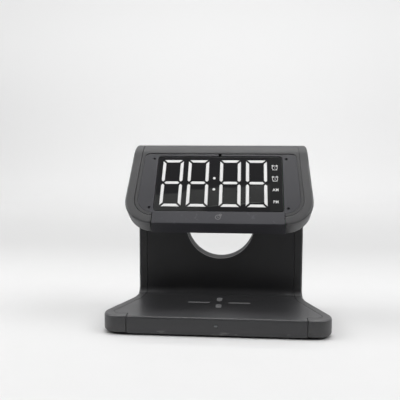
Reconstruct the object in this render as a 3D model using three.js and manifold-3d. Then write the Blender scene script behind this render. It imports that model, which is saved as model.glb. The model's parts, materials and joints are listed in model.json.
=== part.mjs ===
// Wireless charging alarm clock. A flared base carries the charging deck, a column with a round opening
// rises behind it, and the head folds forward from the column's top with a seven-segment display.
// Millimetres. Seen from the front, +X is to the right, +Y goes to the rear and +Z is up.

import * as THREE from "three";
import { mergeVertices } from "three/addons/utils/BufferGeometryUtils.js";
import Module from "manifold-3d";

const wasm = await Module();
wasm.setup();

// Driving dimensions of the display, which set the head's size. It lies in the plane of the face:
// x across, s up the slope from the nose and n out of the face.
const DIGIT_WIDTH = 15.7;
const DIGIT_HEIGHT = 39.9;
const DIGIT_STROKE = 3.2;
const DIGIT_SPACE = 2.35; // between the digits of a pair
const COLON_SPACE = 6.5; // between the pairs
const COLON_PITCH = 9.2;
const COLON_DROP = 0.7; // of its middle below the digits' middle
const COLON_RADIUS = 0.95;
const SEGMENT_GAP = 1; // between neighbouring bars
const SEGMENT_CLEAR = 0.15;
const DIGIT_MARGIN = 3.5; // window left of the first digit
const SIGN_COLUMN = 10.1; // window right of the last digit
const DIGIT_FLOOR = 3.45; // window below the digits
const DIGIT_CEILING = 2.65; // window above the digits
const WINDOW_CORNER = 2;
const WINDOW_SINK = 0.3; // below the face
const FACE_MARGIN = 17.2; // beside the window
const CHIN = 9; // from the nose to the window
const BROW = 2.6; // from the window to the groove above the face plate

// Driving dimensions of the base. Depths are measured back from its front face, heights from the table.
const BASE_WIDTH = 150;
const BASE_CORNER = 11; // radius of the front corners
const BASE_EDGE = 1.5; // rounding of the top and bottom edges
const FOOT_GAP = 1.2; // between the table and the underside
const DECK_HEIGHT = 12.6;
const WAIST_DEPTH = 47.5; // where the base starts to flare from the column's width
const WAIST_BLEND = 30; // radius of the bend there
const FRONT_RETURN = 16.6; // how far a trim comes in from the side on the front face

// Driving dimensions of the column and head
const HEIGHT = 123.1;
const COLUMN_FRONT = 60.7; // depth of its front face
const COLUMN_DEPTH = 14.7; // its thickness from front to rear
const COLUMN_FILLET = 5; // where it rises from the deck
const HEEL_ROUND = 3; // rear edge of the underside
const SIDE_SPLAY = 4.5; // degrees by which each side opens towards the front
const PORT_RADIUS = 25.3; // the round opening
const PORT_CLEAR = 1.6; // between its collar and the button board
const NOSE_EDGE = 1.6;
const NOSE_RETURN = 16; // how far a trim comes in from the side on the nose
const FACE_TILT = 52.2; // degrees of the face above the horizontal
const HEAD_THICKNESS = 12.9;
const HEAD_CORNER = 20; // radius of the nose's corners
const APEX_RADIUS = 14.9; // the bend from the face to the rear
const UNDER_CORNER = 5; // inside bend between the column and the head's underside

// Walls, seams and fits
const WALL = 2;
const TRIM_WIDTH = 6.2;
const TRIM_ROUND = 1.6;
const SEAM = 0.3; // gap between neighbouring pieces
const RIM_WIDTH = 2; // frame left showing between the trim and the face plate
const PLATE_GAP = 0.45; // groove round the face plate
const PLATE_CORNER = 3; // upper corners of the face plate
const LEDGE = 1.6; // thickness of the frame under the face plate
const FACET = 0.08; // how far a flat facet may leave its arc

// Display pieces
const MASK_THICKNESS = 1.6;
const MASK_DEPTH = 6.2;
const MASK_WALL = 1.4;
const DIFFUSER_THICKNESS = 1;
const BOARD_THICKNESS = 1.2;
const BOARD_MARGIN = 2; // display board beyond the window
const LAMP_SIZE = 1.6;
const LAMP_HEIGHT = 0.8;
const DRIVER_WIDTH = 10;
const DRIVER_HEIGHT = 1;
const POST_RADIUS = 2.4;
const FACE_SCREW_MARGIN = 2.7; // beside the window
const FACE_SCREW_RISE = 3.2; // above the window's lower edge
const FACE_SCREW_DROP = 2.2; // below the window's upper edge
const FACE_SCREW_HEAD = 0.8; // radius
const FACE_SCREW_HEAD_HEIGHT = 0.5;
const FACE_SCREW_SHANK = 0.45; // radius
const FACE_SCREW_LENGTH = 4.4;
const FACE_SCREW_SINK = 0.5;
const FACE_BOSS = 2.2; // radius
const NOTCH_WIDTH = 1.6;
const NOTCH_DEPTH = 0.8;

// Touch spring behind the chin
const TOUCH_RADIUS = 2;
const TOUCH_WIRE = 0.25; // radius
const TOUCH_TURNS = 4;

// Charging parts under the deck
const COIL_DEPTH = 35;
const COIL_OUTER = 22;
const COIL_INNER = 10;
const COIL_TURNS = 6;
const COIL_THICKNESS = 1.4;
const COIL_STRAND = 1.3; // width of the flat winding
const FERRITE_MARGIN = 1.5; // beyond the coil
const FERRITE_THICKNESS = 0.8;
const CHARGER_WIDTH = 68;
const CHARGER_FRONT = 8;
const CHARGER_CORNER = 1.5;
// Chips under the board: x, distance behind the coil's middle, width, depth and height
const CHIPS = [
  [0, 0, 6, 6, 1.2],
  [-14, 12, 8, 8, 2.4],
  [14.5, 8.5, 5, 5, 0.9],
  [16, -11.5, 8, 5, 1.5],
];
const LIGHT_WIDTH = 2;
const LIGHT_HEIGHT = 1;
const LIGHT_FLANGE = 1;
const USB_WIDTH = 8.9;
const USB_HEIGHT = 3.2;
const USB_DEPTH = 7.4;
const USB_SHELL = 0.35;
const USB_BACK = 1; // thickness of the back wall
const USB_TONGUE_WIDTH = 6.6;
const USB_TONGUE_HEIGHT = 0.7;
const USB_SINK = 0.5; // mouth behind the rear face
const CELL_RADIUS = 10;
const CELL_THICKNESS = 3.2;
const CELL_LIP = 1.2; // ring round the cell's cap
const CELL_CAP = 0.5; // height of the cap
const CELL_GAP = 1; // between the holder and the board
const CELL_DEPTH = 33;
const HOLDER_WALL = 1.2;
const FINGER_SLOT = 6.6;

// Buttons on the rear and what they press
const BUTTON_NAMES = ["set_button", "up_button", "down_button", "alarm_button", "dimmer_button"];
const BUTTON_PITCH = 14;
const BUTTON_DROP = 23.6; // below the top of the clock
const BUTTON_RADIUS = 3.4;
const BUTTON_PROUD = 0.8;
const BUTTON_DOME = 0.4;
const BUTTON_FLANGE = 1; // radius added behind the wall
const BUTTON_FLANGE_THICKNESS = 0.8;
const BUTTON_STEM = 1.8; // radius
const BUTTON_TRAVEL = 0.6;
const SWITCH_SIZE = 6;
const SWITCH_HEIGHT = 2.8;
const PLUNGER_HEIGHT = 0.7;
const BUTTON_BOARD_HEIGHT = 12;
const BUZZER_RADIUS = 4.8;
const BUZZER_HEIGHT = 4.6;
const SOUND_HOLE = 0.7; // radius
const SOUND_RING = 2.6; // radius of the ring of sound holes
const SOUND_HOLES = 6;
const RIBBON_WIDTH = 5.4;
const RIBBON_THICKNESS = 0.5;
const RIBBON_BEND = 4;

// Fastening and feet
const FOOT_RADIUS = 5;
const FOOT_POCKET = 0.8;
const FRONT_FOOT_IN = 19; // from the base's side
const REAR_FOOT_IN = 17; // from the column's side
const FOOT_BACK = 14; // behind the front face
const HEEL_BACK = 9.4; // from the rear face to the rear feet
const SCREW_HEAD = 2.6; // radius
const SCREW_HEAD_HEIGHT = 0.8;
const SCREW_SHANK = 1; // radius
const SCREW_BOSS = 3; // radius
const FRONT_SCREW_IN = 15; // from the front feet
const REAR_SCREW_IN = 15; // from the column's side
const REAR_SCREW_BACK = 2.5; // behind the waist

// Values that follow from the driving dimensions
const radians = THREE.MathUtils.degToRad;
const COS = Math.cos(radians(FACE_TILT));
const SIN = Math.sin(radians(FACE_TILT));
const FAR = 4 * HEIGHT; // past every face of the clock
const REAR = COLUMN_FRONT + COLUMN_DEPTH;
const WINDOW_WIDTH = DIGIT_MARGIN + 4 * DIGIT_WIDTH + 2 * DIGIT_SPACE + COLON_SPACE + SIGN_COLUMN;
const WINDOW_LOW = CHIN;
const WINDOW_HIGH = CHIN + DIGIT_FLOOR + DIGIT_HEIGHT + DIGIT_CEILING;
const FACE_LENGTH = WINDOW_HIGH + BROW;
const COLUMN_WIDTH = WINDOW_WIDTH + 2 * FACE_MARGIN; // at the column's front face
const NOSE_DEPTH = REAR - APEX_RADIUS * (1 + SIN) - FACE_LENGTH * COS;
const NOSE_HEIGHT = HEIGHT - APEX_RADIUS * (1 - COS) - FACE_LENGTH * SIN;
const FRONT_SEAM = BASE_WIDTH / 2 - FRONT_RETURN;
const NOSE_SEAM = COLUMN_WIDTH / 2 - NOSE_RETURN;
const COVER_TOP = FOOT_GAP + WALL;
const DECK_UNDER = DECK_HEIGHT - WALL;
const COIL_LEVEL = DECK_UNDER - SEAM - COIL_THICKNESS;
const FERRITE_LEVEL = COIL_LEVEL - SEAM - FERRITE_THICKNESS;
const CHARGER_LEVEL = FERRITE_LEVEL - SEAM - BOARD_THICKNESS;
const CHARGER_TOP = CHARGER_LEVEL + BOARD_THICKNESS;
const CHARGER_REAR = REAR - WALL - SEAM;
const LIGHT_LEVEL = CHARGER_TOP - SEAM;
const HOLDER_RADIUS = CELL_RADIUS + SEAM + HOLDER_WALL;
const CELL_X = -(CHARGER_WIDTH / 2 + CELL_GAP + HOLDER_RADIUS);
const USB_LEVEL = CHARGER_TOP + SEAM + USB_HEIGHT / 2;
const UNDER_INNER = WALL - HEAD_THICKNESS; // inner face of the head's underside, along the face's normal
const MASK_BACK = -WINDOW_SINK - MASK_DEPTH;
const BOARD_FRONT = MASK_BACK - SEAM;
const BOARD_BACK = BOARD_FRONT - BOARD_THICKNESS;
const FIRST_DIGIT = DIGIT_MARGIN - WINDOW_WIDTH / 2;
const DIGIT_LOW = WINDOW_LOW + DIGIT_FLOOR;
const COLON_X = FIRST_DIGIT + 2 * DIGIT_WIDTH + DIGIT_SPACE + COLON_SPACE / 2;
const DIFFUSER_FRONT = -WINDOW_SINK - MASK_THICKNESS - SEGMENT_CLEAR;
const PLATE_SEAT = -WALL - SEAM;
const COLUMN_INNER = COLUMN_FRONT + WALL;
const FLANGE_REAR = REAR - WALL - SEAM;
const FLANGE_FRONT = FLANGE_REAR - BUTTON_FLANGE_THICKNESS;
const RIBBON_DEPTH = COLUMN_INNER + SEAM + RIBBON_THICKNESS;
const BUTTON_BOARD_FRONT = RIBBON_DEPTH + RIBBON_THICKNESS + 2 * SEAM;
const BUTTON_BOARD_REAR = BUTTON_BOARD_FRONT + BOARD_THICKNESS;
const SWITCH_REAR = BUTTON_BOARD_REAR + SWITCH_HEIGHT;
const BUTTON_ROW = (BUTTON_NAMES.length - 1) * BUTTON_PITCH;
const BUTTON_LEVEL = HEIGHT - BUTTON_DROP;
const PORT_HEIGHT = BUTTON_LEVEL - BUTTON_BOARD_HEIGHT / 2 - PORT_CLEAR - WALL - PORT_RADIUS;
const BUZZER_X = BUTTON_ROW / 2 + BUTTON_RADIUS + BUTTON_FLANGE + 2 * BUZZER_RADIUS;
const RIBBON_X = PORT_RADIUS + WALL + SEAM + RIBBON_WIDTH / 2;

// Frames: each maps a drawing's x and y, and the direction it is extruded in, to the clock
const AXIS_X = new THREE.Vector3(1, 0, 0);
const AXIS_Y = new THREE.Vector3(0, 1, 0);
const AXIS_Z = new THREE.Vector3(0, 0, 1);
const PLAN = new THREE.Matrix4();
const SIDE = new THREE.Matrix4().makeBasis(AXIS_Y, AXIS_Z, AXIS_X);
const FRONT = new THREE.Matrix4().makeBasis(AXIS_X, AXIS_Z, AXIS_Y.clone().negate());
const FACE = new THREE.Matrix4()
  .makeBasis(AXIS_X, new THREE.Vector3(0, COS, SIN), new THREE.Vector3(0, -SIN, COS))
  .setPosition(0, NOSE_DEPTH, NOSE_HEIGHT);

// Half the width of the column and head at a depth
function halfWidth(depth) {
  return COLUMN_WIDTH / 2 + Math.tan(radians(SIDE_SPLAY)) * (COLUMN_FRONT - depth);
}

// Depth and height of a point s up the face and n out of it
function onFace(s, n) {
  return [NOSE_DEPTH + s * COS - n * SIN, NOSE_HEIGHT + s * SIN + n * COS];
}

// Depth and height where the plane n out of the face has the given depth
function faceAtDepth(depth, n) {
  return onFace((depth - NOSE_DEPTH + n * SIN) / COS, n);
}

// Outlines are lists of corners [x, y, radius], anticlockwise
function outline(corners) {
  const count = corners.length;
  const points = corners.flatMap(([x, y, radius = 0], i) => {
    const at = new THREE.Vector2(x, y);
    if (radius <= 0) return [at];
    const back = new THREE.Vector2(...corners[(i + count - 1) % count]).sub(at).normalize();
    const ahead = new THREE.Vector2(...corners[(i + 1) % count]).sub(at).normalize();
    const half = Math.acos(THREE.MathUtils.clamp(back.dot(ahead), -1, 1)) / 2;
    const centre = back.clone().add(ahead).setLength(radius / Math.sin(half)).add(at);
    const start = back.clone().multiplyScalar(radius / Math.tan(half)).add(at).sub(centre).angle();
    const end = ahead.clone().multiplyScalar(radius / Math.tan(half)).add(at).sub(centre).angle();
    const clockwise = back.cross(ahead) > 0;
    const step = 2 * Math.acos(1 - Math.min(FACET / radius, 1));
    const steps = Math.max(2, Math.ceil((Math.PI - 2 * half) / step));
    const arc = new THREE.EllipseCurve(centre.x, centre.y, radius, radius, start, end, clockwise);
    return arc.getPoints(steps);
  });
  return new THREE.Shape(points);
}

// The same corners with every edge moved inwards; outward bends tighten and inward bends widen
function inset(corners, distance) {
  const count = corners.length;
  return corners.map(([x, y, radius = 0], i) => {
    const at = new THREE.Vector2(x, y);
    const along = at.clone().sub(new THREE.Vector2(...corners[(i + count - 1) % count])).normalize();
    const onward = new THREE.Vector2(...corners[(i + 1) % count]).sub(at).normalize();
    const normal = new THREE.Vector2(-along.y - onward.y, along.x + onward.x);
    normal.multiplyScalar(distance / (1 + along.dot(onward)));
    const bent = along.cross(onward) > 0 ? radius - distance : radius + distance;
    return [x + normal.x, y + normal.y, radius > 0 ? Math.max(bent, 0) : 0];
  });
}

function box(x0, y0, x1, y1, radius = 0) {
  return [[x0, y0, radius], [x1, y0, radius], [x1, y1, radius], [x0, y1, radius]];
}

function circle(radius, x = 0, y = 0) {
  const sides = Math.max(10, Math.ceil(Math.PI / Math.acos(1 - Math.min(FACET / radius, 0.5))));
  const turn = (2 * Math.PI) / sides;
  return Array.from({ length: sides }, (_, i) => [
    x + radius * Math.cos(i * turn),
    y + radius * Math.sin(i * turn),
  ]);
}

// Solids
function solidOf(geometry) {
  const bare = new THREE.BufferGeometry().setAttribute("position", geometry.getAttribute("position"));
  if (geometry.index) bare.setIndex(geometry.index);
  const merged = mergeVertices(bare, 1e-4);
  const vertProperties = merged.attributes.position.array;
  const triVerts = new Uint32Array(merged.index.array);
  return new wasm.Manifold(new wasm.Mesh({ numProp: 3, vertProperties, triVerts }));
}

function geometryOf(solid) {
  const { vertProperties, triVerts } = solid.getMesh();
  return new THREE.BufferGeometry()
    .setAttribute("position", new THREE.BufferAttribute(vertProperties, 3))
    .setIndex(new THREE.BufferAttribute(triVerts, 1));
}

// Widens a geometry towards the front by the splay of the sides
function splay(geometry) {
  const at = geometry.getAttribute("position");
  for (let i = 0; i < at.count; i += 1) {
    at.setX(i, (at.getX(i) * halfWidth(at.getY(i))) / (COLUMN_WIDTH / 2));
  }
}

// Extrudes corners between two levels, with its end edges rounded where asked
function extrude(corners, from, to, { frame = PLAN, round = 0, splayed = false } = {}) {
  const geometry = new THREE.ExtrudeGeometry(outline(corners), {
    depth: to - from - 2 * round,
    bevelEnabled: round > 0,
    bevelThickness: round,
    bevelSize: round,
    bevelOffset: -round,
    bevelSegments: 3,
  });
  geometry.translate(0, 0, from + round);
  geometry.applyMatrix4(frame);
  if (splayed) splay(geometry);
  return solidOf(geometry);
}

function rod(radius, from, to, { x = 0, y = 0, frame = PLAN } = {}) {
  return extrude(circle(radius, x, y), from, to, { frame });
}

function union(...solids) {
  return solids.reduce((whole, solid) => whole.add(solid));
}

function without(solid, ...cuts) {
  return cuts.reduce((whole, cut) => whole.subtract(cut), solid);
}

// A tube of a few sides along a curve
function tube(curve, radius, sides, steps) {
  const section = new THREE.Shape(
    Array.from({ length: sides }, (_, i) => {
      const turn = (2 * Math.PI * i) / sides;
      return new THREE.Vector2(radius * Math.cos(turn), radius * Math.sin(turn));
    }),
  );
  return solidOf(new THREE.ExtrudeGeometry(section, { steps, extrudePath: curve, bevelEnabled: false }));
}

// Outlines of the body
function basePlan() {
  const centre = BASE_WIDTH / 2 - BASE_CORNER;
  const across = halfWidth(WAIST_DEPTH) - centre;
  const along = WAIST_DEPTH - BASE_CORNER;
  const flare = Math.asin(BASE_CORNER / Math.hypot(across, along)) - Math.atan2(across, along);
  const front = centre + (BASE_CORNER * (1 + Math.sin(flare))) / Math.cos(flare);
  const end = COLUMN_FRONT + COLUMN_DEPTH / 2;
  const rear = halfWidth(end) - FACET;
  const waist = halfWidth(WAIST_DEPTH) - FACET;
  return [
    [-front, 0, BASE_CORNER],
    [front, 0, BASE_CORNER],
    [waist, WAIST_DEPTH, WAIST_BLEND],
    [rear, end],
    [-rear, end],
    [-waist, WAIST_DEPTH, WAIST_BLEND],
  ];
}

function headPlan() {
  const half = COLUMN_WIDTH / 2;
  const end = FACE_LENGTH + APEX_RADIUS;
  return [[-half, 0, HEAD_CORNER], [half, 0, HEAD_CORNER], [half, end], [-half, end]];
}

// Side view of the column and head, from the heel round the apex to past the nose
function upperProfile() {
  const heel = WAIST_DEPTH - BASE_CORNER;
  return [
    [heel, FOOT_GAP],
    [REAR, FOOT_GAP, HEEL_ROUND],
    [...faceAtDepth(REAR, 0), APEX_RADIUS],
    onFace(-WALL, 0),
    onFace(-WALL, -HEAD_THICKNESS),
    [...faceAtDepth(COLUMN_FRONT, -HEAD_THICKNESS), UNDER_CORNER],
    [COLUMN_FRONT, DECK_HEIGHT, COLUMN_FILLET],
    [heel, DECK_HEIGHT],
  ];
}

// The whole outside, or the hollow a wall's thickness inside it
function body(depthIn, edge, round) {
  const plan = inset(basePlan(), depthIn);
  const base = extrude(plan, FOOT_GAP + depthIn, DECK_HEIGHT - depthIn, { round: edge });
  const half = COLUMN_WIDTH / 2 - depthIn;
  const profile = inset(upperProfile(), depthIn);
  const upper = extrude(profile, -half, half, { frame: SIDE, round, splayed: true });
  // A hair wider than the column, so that the column's own rounding shows on the straight sides
  const slab = inset(headPlan(), depthIn).map(([x, s, radius]) => [x + Math.sign(x) * FACET, s, radius]);
  const head = extrude(slab, depthIn - HEAD_THICKNESS, -depthIn, { frame: FACE, round, splayed: true });
  const behind = extrude(box(-FAR, COLUMN_FRONT - UNDER_CORNER - HEAD_THICKNESS / 2, FAR, FAR), -FAR, FAR);
  return union(base, upper.intersect(union(head, behind)));
}

// The space between the side trims, moved in from the outside by the given width
function core(width) {
  const spare = TRIM_WIDTH - width;
  const deck = extrude(inset(basePlan(), width), -FAR, DECK_HEIGHT + COLUMN_FILLET);
  const mouth = box(-FRONT_SEAM - spare, -FAR, FRONT_SEAM + spare, 2 * BASE_CORNER);
  const front = extrude(mouth, -FAR, DECK_HEIGHT + WALL);
  const half = COLUMN_WIDTH / 2 - width;
  const behind = COLUMN_FRONT - UNDER_CORNER - HEAD_THICKNESS / 2;
  const column = extrude(box(behind, -FAR, FAR, FAR), -half, half, { frame: SIDE, splayed: true });
  const face = extrude(inset(headPlan(), width), -2 * HEAD_THICKNESS, FAR, { frame: FACE, splayed: true });
  const tongue = box(-NOSE_SEAM - spare, -FAR, NOSE_SEAM + spare, 2 * HEAD_CORNER);
  const nose = extrude(tongue, -2 * HEAD_THICKNESS, HEAD_THICKNESS, { frame: FACE });
  return union(deck, front, column, face, nose);
}

const inside = core(TRIM_WIDTH + SEAM / 2);

// Materials
function finish(color, roughness, metalness = 0) {
  return new THREE.MeshStandardMaterial({ color, roughness, metalness });
}

const MATERIALS = {
  body: () => finish(0x3f3f42, 0.62),
  trim: () => finish(0x4a4a4c, 0.58),
  plate: () => finish(0x4c4c52, 0.5),
  mask: () => finish(0x0b0b0c, 0.12),
  diffuser: () => finish(0xf2f2ef, 0.45),
  light: () => finish(0x8a8c90, 0.35),
  rubber: () => finish(0x1b1b1c, 0.9),
  steel: () => finish(0x2a2a2c, 0.4, 1),
  nickel: () => finish(0xb8b8b4, 0.3, 1),
  copper: () => finish(0xb4692f, 0.35, 1),
  ferrite: () => finish(0x3a3a3c, 0.8),
  board: () => finish(0x1d5a35, 0.55),
  ribbon: () => finish(0xd8d8d2, 0.6),
};

// Scene graph: the body stands on the table, and the head's group lies in the plane of the face
const clock = new THREE.Group();
const stand = new THREE.Group();
stand.position.y = -(REAR + BUTTON_PROUD) / 2;
const head = new THREE.Group();
head.position.set(0, NOSE_DEPTH, NOSE_HEIGHT);
head.rotation.x = radians(FACE_TILT);
stand.add(head);
clock.add(stand);

function piece(name, solid, material, parent = stand) {
  const mesh = new THREE.Mesh(geometryOf(solid), MATERIALS[material]());
  mesh.name = name;
  parent.add(mesh);
  return mesh;
}

// Left and right, front and rear copies of a place on the base
function corners(front, rear) {
  return [
    ["front_left", -front[0], front[1]],
    ["front_right", front[0], front[1]],
    ["rear_left", -rear[0], rear[1]],
    ["rear_right", rear[0], rear[1]],
  ];
}

const FRONT_FOOT_X = BASE_WIDTH / 2 - FRONT_FOOT_IN;
const FEET = corners([FRONT_FOOT_X, FOOT_BACK], [COLUMN_WIDTH / 2 - REAR_FOOT_IN, REAR - HEEL_BACK]);
const SCREWS = corners(
  [FRONT_FOOT_X - FRONT_SCREW_IN, FOOT_BACK],
  [COLUMN_WIDTH / 2 - REAR_SCREW_IN, WAIST_DEPTH + REAR_SCREW_BACK],
);
const FACE_SCREW_X = WINDOW_WIDTH / 2 + FACE_SCREW_MARGIN;
const FACE_SCREWS = corners(
  [FACE_SCREW_X, WINDOW_LOW + FACE_SCREW_RISE],
  [FACE_SCREW_X, WINDOW_HIGH - FACE_SCREW_DROP],
);
const BUTTONS = BUTTON_NAMES.map((_, i) => i * BUTTON_PITCH - BUTTON_ROW / 2);
const FACE_SCREW_SEAT = -FACE_SCREW_SINK - FACE_SCREW_HEAD_HEIGHT;
const SCREW_SEAT = FOOT_GAP + SEAM / 2 + SCREW_HEAD_HEIGHT;
const CHARGER_POSTS = [CHARGER_FRONT + 2 * POST_RADIUS, CHARGER_REAR - 4 * POST_RADIUS].flatMap((y) =>
  [-1, 1].map((side) => [side * (CHARGER_WIDTH / 2 - 2 * POST_RADIUS), y]),
);
const DISPLAY_POSTS = [WINDOW_LOW, WINDOW_HIGH - 2 * POST_RADIUS].flatMap((s) =>
  [-1, 1].map((side) => [side * (WINDOW_WIDTH / 2 - 2 * POST_RADIUS), s]),
);
const BUTTON_POSTS = [-1.5, -0.5, 0.5, 1.5].map((place) => [
  place * BUTTON_PITCH,
  BUTTON_LEVEL - BUTTON_BOARD_HEIGHT / 2 + POST_RADIUS,
]);

// Deck, front wall, front of the column and underside of the head, bent from one wall
function innerShell() {
  const end = WALL + SEAM;
  const profile = [
    [0, FOOT_GAP],
    [WALL, FOOT_GAP],
    [WALL, DECK_UNDER],
    [COLUMN_INNER, DECK_UNDER, COLUMN_FILLET + WALL],
    [...faceAtDepth(COLUMN_INNER, UNDER_INNER), UNDER_CORNER + WALL],
    onFace(end, UNDER_INNER),
    onFace(end, -HEAD_THICKNESS),
    [...faceAtDepth(COLUMN_FRONT, -HEAD_THICKNESS), UNDER_CORNER],
    [COLUMN_FRONT, DECK_HEIGHT, COLUMN_FILLET],
    [0, DECK_HEIGHT, BASE_EDGE],
  ];
  const wall = extrude(profile, -FAR, FAR, { frame: SIDE }).intersect(inside);
  const rooted = DECK_UNDER + WALL / 2;
  const bosses = SCREWS.map(([, x, y]) => rod(SCREW_BOSS, COVER_TOP + SEAM, rooted, { x, y }));
  const pilots = SCREWS.map(([, x, y]) => rod(SCREW_SHANK + SEAM, 0, DECK_UNDER, { x, y }));
  const boardPosts = DISPLAY_POSTS.map(([x, y]) =>
    rod(POST_RADIUS, UNDER_INNER - WALL / 2, BOARD_BACK - SEAM, { x, y, frame: FACE }),
  );
  const buttonPosts = BUTTON_POSTS.map(([x, y]) =>
    rod(POST_RADIUS, SEAM - BUTTON_BOARD_FRONT, -COLUMN_FRONT - WALL / 2, { x, y, frame: FRONT }),
  );
  const port = rod(PORT_RADIUS, -COLUMN_INNER - WALL, WALL - COLUMN_FRONT, {
    y: PORT_HEIGHT,
    frame: FRONT,
  });
  const light = extrude(lightOutline(SEAM / 2), -2 * WALL, WALL, { frame: FRONT });
  return without(union(wall, ...bosses, ...boardPosts, ...buttonPosts), port, light, ...pilots);
}

function lightOutline(grow) {
  const x = LIGHT_WIDTH / 2 + grow;
  const y = LIGHT_HEIGHT / 2 + grow;
  return box(-x, LIGHT_LEVEL - y, x, LIGHT_LEVEL + y);
}

function usbOutline(grow) {
  const x = USB_WIDTH / 2 + grow;
  const y = USB_HEIGHT / 2 + grow;
  return box(-x, USB_LEVEL - y, x, USB_LEVEL + y, 0.98 * y);
}

// Face plate's outline: inside the frame's rim, with a tongue that reaches the nose between its seams
function plateSolid(grow, from, to) {
  const margin = TRIM_WIDTH + SEAM / 2 + RIM_WIDTH + PLATE_GAP - grow;
  const top = FACE_LENGTH - PLATE_GAP + grow;
  const plan = inset(headPlan(), margin).map(([x, s, radius]) =>
    s > top ? [x, top, PLATE_CORNER] : [x, s, radius],
  );
  const field = extrude(plan, from, to, { frame: FACE, splayed: true });
  const reach = NOSE_SEAM - SEAM - PLATE_GAP + 2 * grow;
  const low = grow > 0 ? -WALL : 0;
  const tongue = extrude(box(-reach, low, reach, 2 * HEAD_CORNER), from, to, { frame: FACE });
  return union(field, tongue);
}

function facePlace(solid) {
  return solid.transform(FACE.clone().invert().elements);
}

// Rear of the column, the apex and the frame round the face, with the collar of the round opening
function outerShell() {
  const outside = extrude(upperProfile(), -FAR, FAR, { frame: SIDE });
  const profile = [
    [REAR - WALL, -FAR],
    [FAR, -FAR],
    [FAR, FAR],
    onFace(FACE_LENGTH, FAR),
    onFace(FACE_LENGTH, -WALL),
    [...faceAtDepth(REAR - WALL, -WALL), APEX_RADIUS - WALL],
  ];
  const wall = extrude(profile, -FAR, FAR, { frame: SIDE });
  const depth = PLATE_SEAT - LEDGE;
  const low = TRIM_WIDTH + SEAM;
  const frame = extrude(box(-FAR, low, FAR, FACE_LENGTH + WALL), depth, WALL, { frame: FACE });
  const half = WINDOW_WIDTH / 2 + SEAM;
  const well = extrude(box(-half, 0, half, WINDOW_HIGH + SEAM), depth - WALL, WALL, { frame: FACE });
  const rim = without(frame, plateSolid(PLATE_GAP, PLATE_SEAT, 2 * WALL), well);
  const bosses = FACE_SCREWS.map(([, x, y]) =>
    rod(FACE_BOSS, BOARD_FRONT + SEAM, PLATE_SEAT, { x, y, frame: FACE }),
  );
  const round = { y: PORT_HEIGHT, frame: FRONT };
  const collar = rod(PORT_RADIUS + WALL, WALL / 2 - REAR, -COLUMN_INNER - SEAM, round);
  const port = rod(PORT_RADIUS, -FAR, FAR, round);
  const usb = extrude(usbOutline(SEAM), -FAR, -COLUMN_INNER, { frame: FRONT });
  const pilots = FACE_SCREWS.map(([, x, y]) =>
    rod(FACE_SCREW_SHANK + SEAM, MASK_BACK, 0, { x, y, frame: FACE }),
  );
  const caps = BUTTONS.map((x) =>
    rod(BUTTON_RADIUS + SEAM, -FAR, -COLUMN_INNER, { x, y: BUTTON_LEVEL, frame: FRONT }),
  );
  const sound = Array.from({ length: SOUND_HOLES }, (_, i) => {
    const turn = (2 * Math.PI * i) / SOUND_HOLES;
    const x = BUZZER_X + SOUND_RING * Math.cos(turn);
    const y = BUTTON_LEVEL + SOUND_RING * Math.sin(turn);
    return rod(SOUND_HOLE, -FAR, -COLUMN_INNER, { x, y, frame: FRONT });
  });
  const shell = union(wall, rim, ...bosses, collar).intersect(outside).intersect(inside);
  return without(shell, port, usb, ...pilots, ...caps, ...sound);
}

// Cap on one side: the outer band of the whole body, hollow behind its wall
function sideTrim(side) {
  const half = extrude(box(side < 0 ? -FAR : 0, -FAR, side < 0 ? 0 : FAR, FAR), -FAR, FAR);
  const cap = without(body(0, BASE_EDGE, TRIM_ROUND), core(TRIM_WIDTH - SEAM / 2), body(WALL, 0, 0));
  return cap.intersect(half);
}

// Bottom plate between the front and rear walls, with posts for the charger board
function baseCover() {
  const edge = WALL + SEAM;
  const plate = extrude(box(-FAR, edge, FAR, REAR - edge), FOOT_GAP, COVER_TOP).intersect(inside);
  const rooted = COVER_TOP - WALL / 2;
  const posts = CHARGER_POSTS.map(([x, y]) => rod(POST_RADIUS, rooted, CHARGER_LEVEL - SEAM, { x, y }));
  const holes = SCREWS.map(([, x, y]) => rod(SCREW_SHANK + SEAM, 0, FAR, { x, y }));
  const sinks = SCREWS.map(([, x, y]) => rod(SCREW_HEAD + SEAM, 0, SCREW_SEAT + SEAM, { x, y }));
  const pockets = FEET.map(([, x, y]) => rod(FOOT_RADIUS + SEAM, 0, FOOT_GAP + FOOT_POCKET, { x, y }));
  return without(union(plate, ...posts), ...holes, ...sinks, ...pockets);
}

// Front of the head with the window, the screw holes and the wall of the nose
function facePlate() {
  const half = WINDOW_WIDTH / 2 + SEAM;
  const field = plateSolid(0, -WALL, 0);
  const reach = NOSE_SEAM - SEAM - PLATE_GAP;
  const lip = extrude(box(-reach, 0, reach, WALL), -HEAD_THICKNESS, 0, { frame: FACE });
  const pane = box(-half, WINDOW_LOW - SEAM, half, WINDOW_HIGH + SEAM, WINDOW_CORNER + SEAM);
  const window = extrude(pane, -FAR, FAR, { frame: FACE });
  const heads = FACE_SCREWS.map(([, x, y]) => {
    const shank = rod(FACE_SCREW_SHANK + SEAM, -2 * WALL, 0, { x, y, frame: FACE });
    const sink = rod(FACE_SCREW_HEAD + SEAM / 2, FACE_SCREW_SEAT - SEAM, WALL, { x, y, frame: FACE });
    return union(shank, sink);
  });
  const top = FACE_LENGTH - PLATE_GAP;
  const notch = box(-NOTCH_WIDTH / 2, top - NOTCH_DEPTH, NOTCH_WIDTH / 2, top + WALL);
  const cut = extrude(notch, -WALL / 2, WALL, { frame: FACE });
  const nose = extrude(noseSection(), -FAR, FAR, { frame: SIDE });
  return facePlace(without(union(field, lip).intersect(nose), window, cut, ...heads));
}

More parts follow.
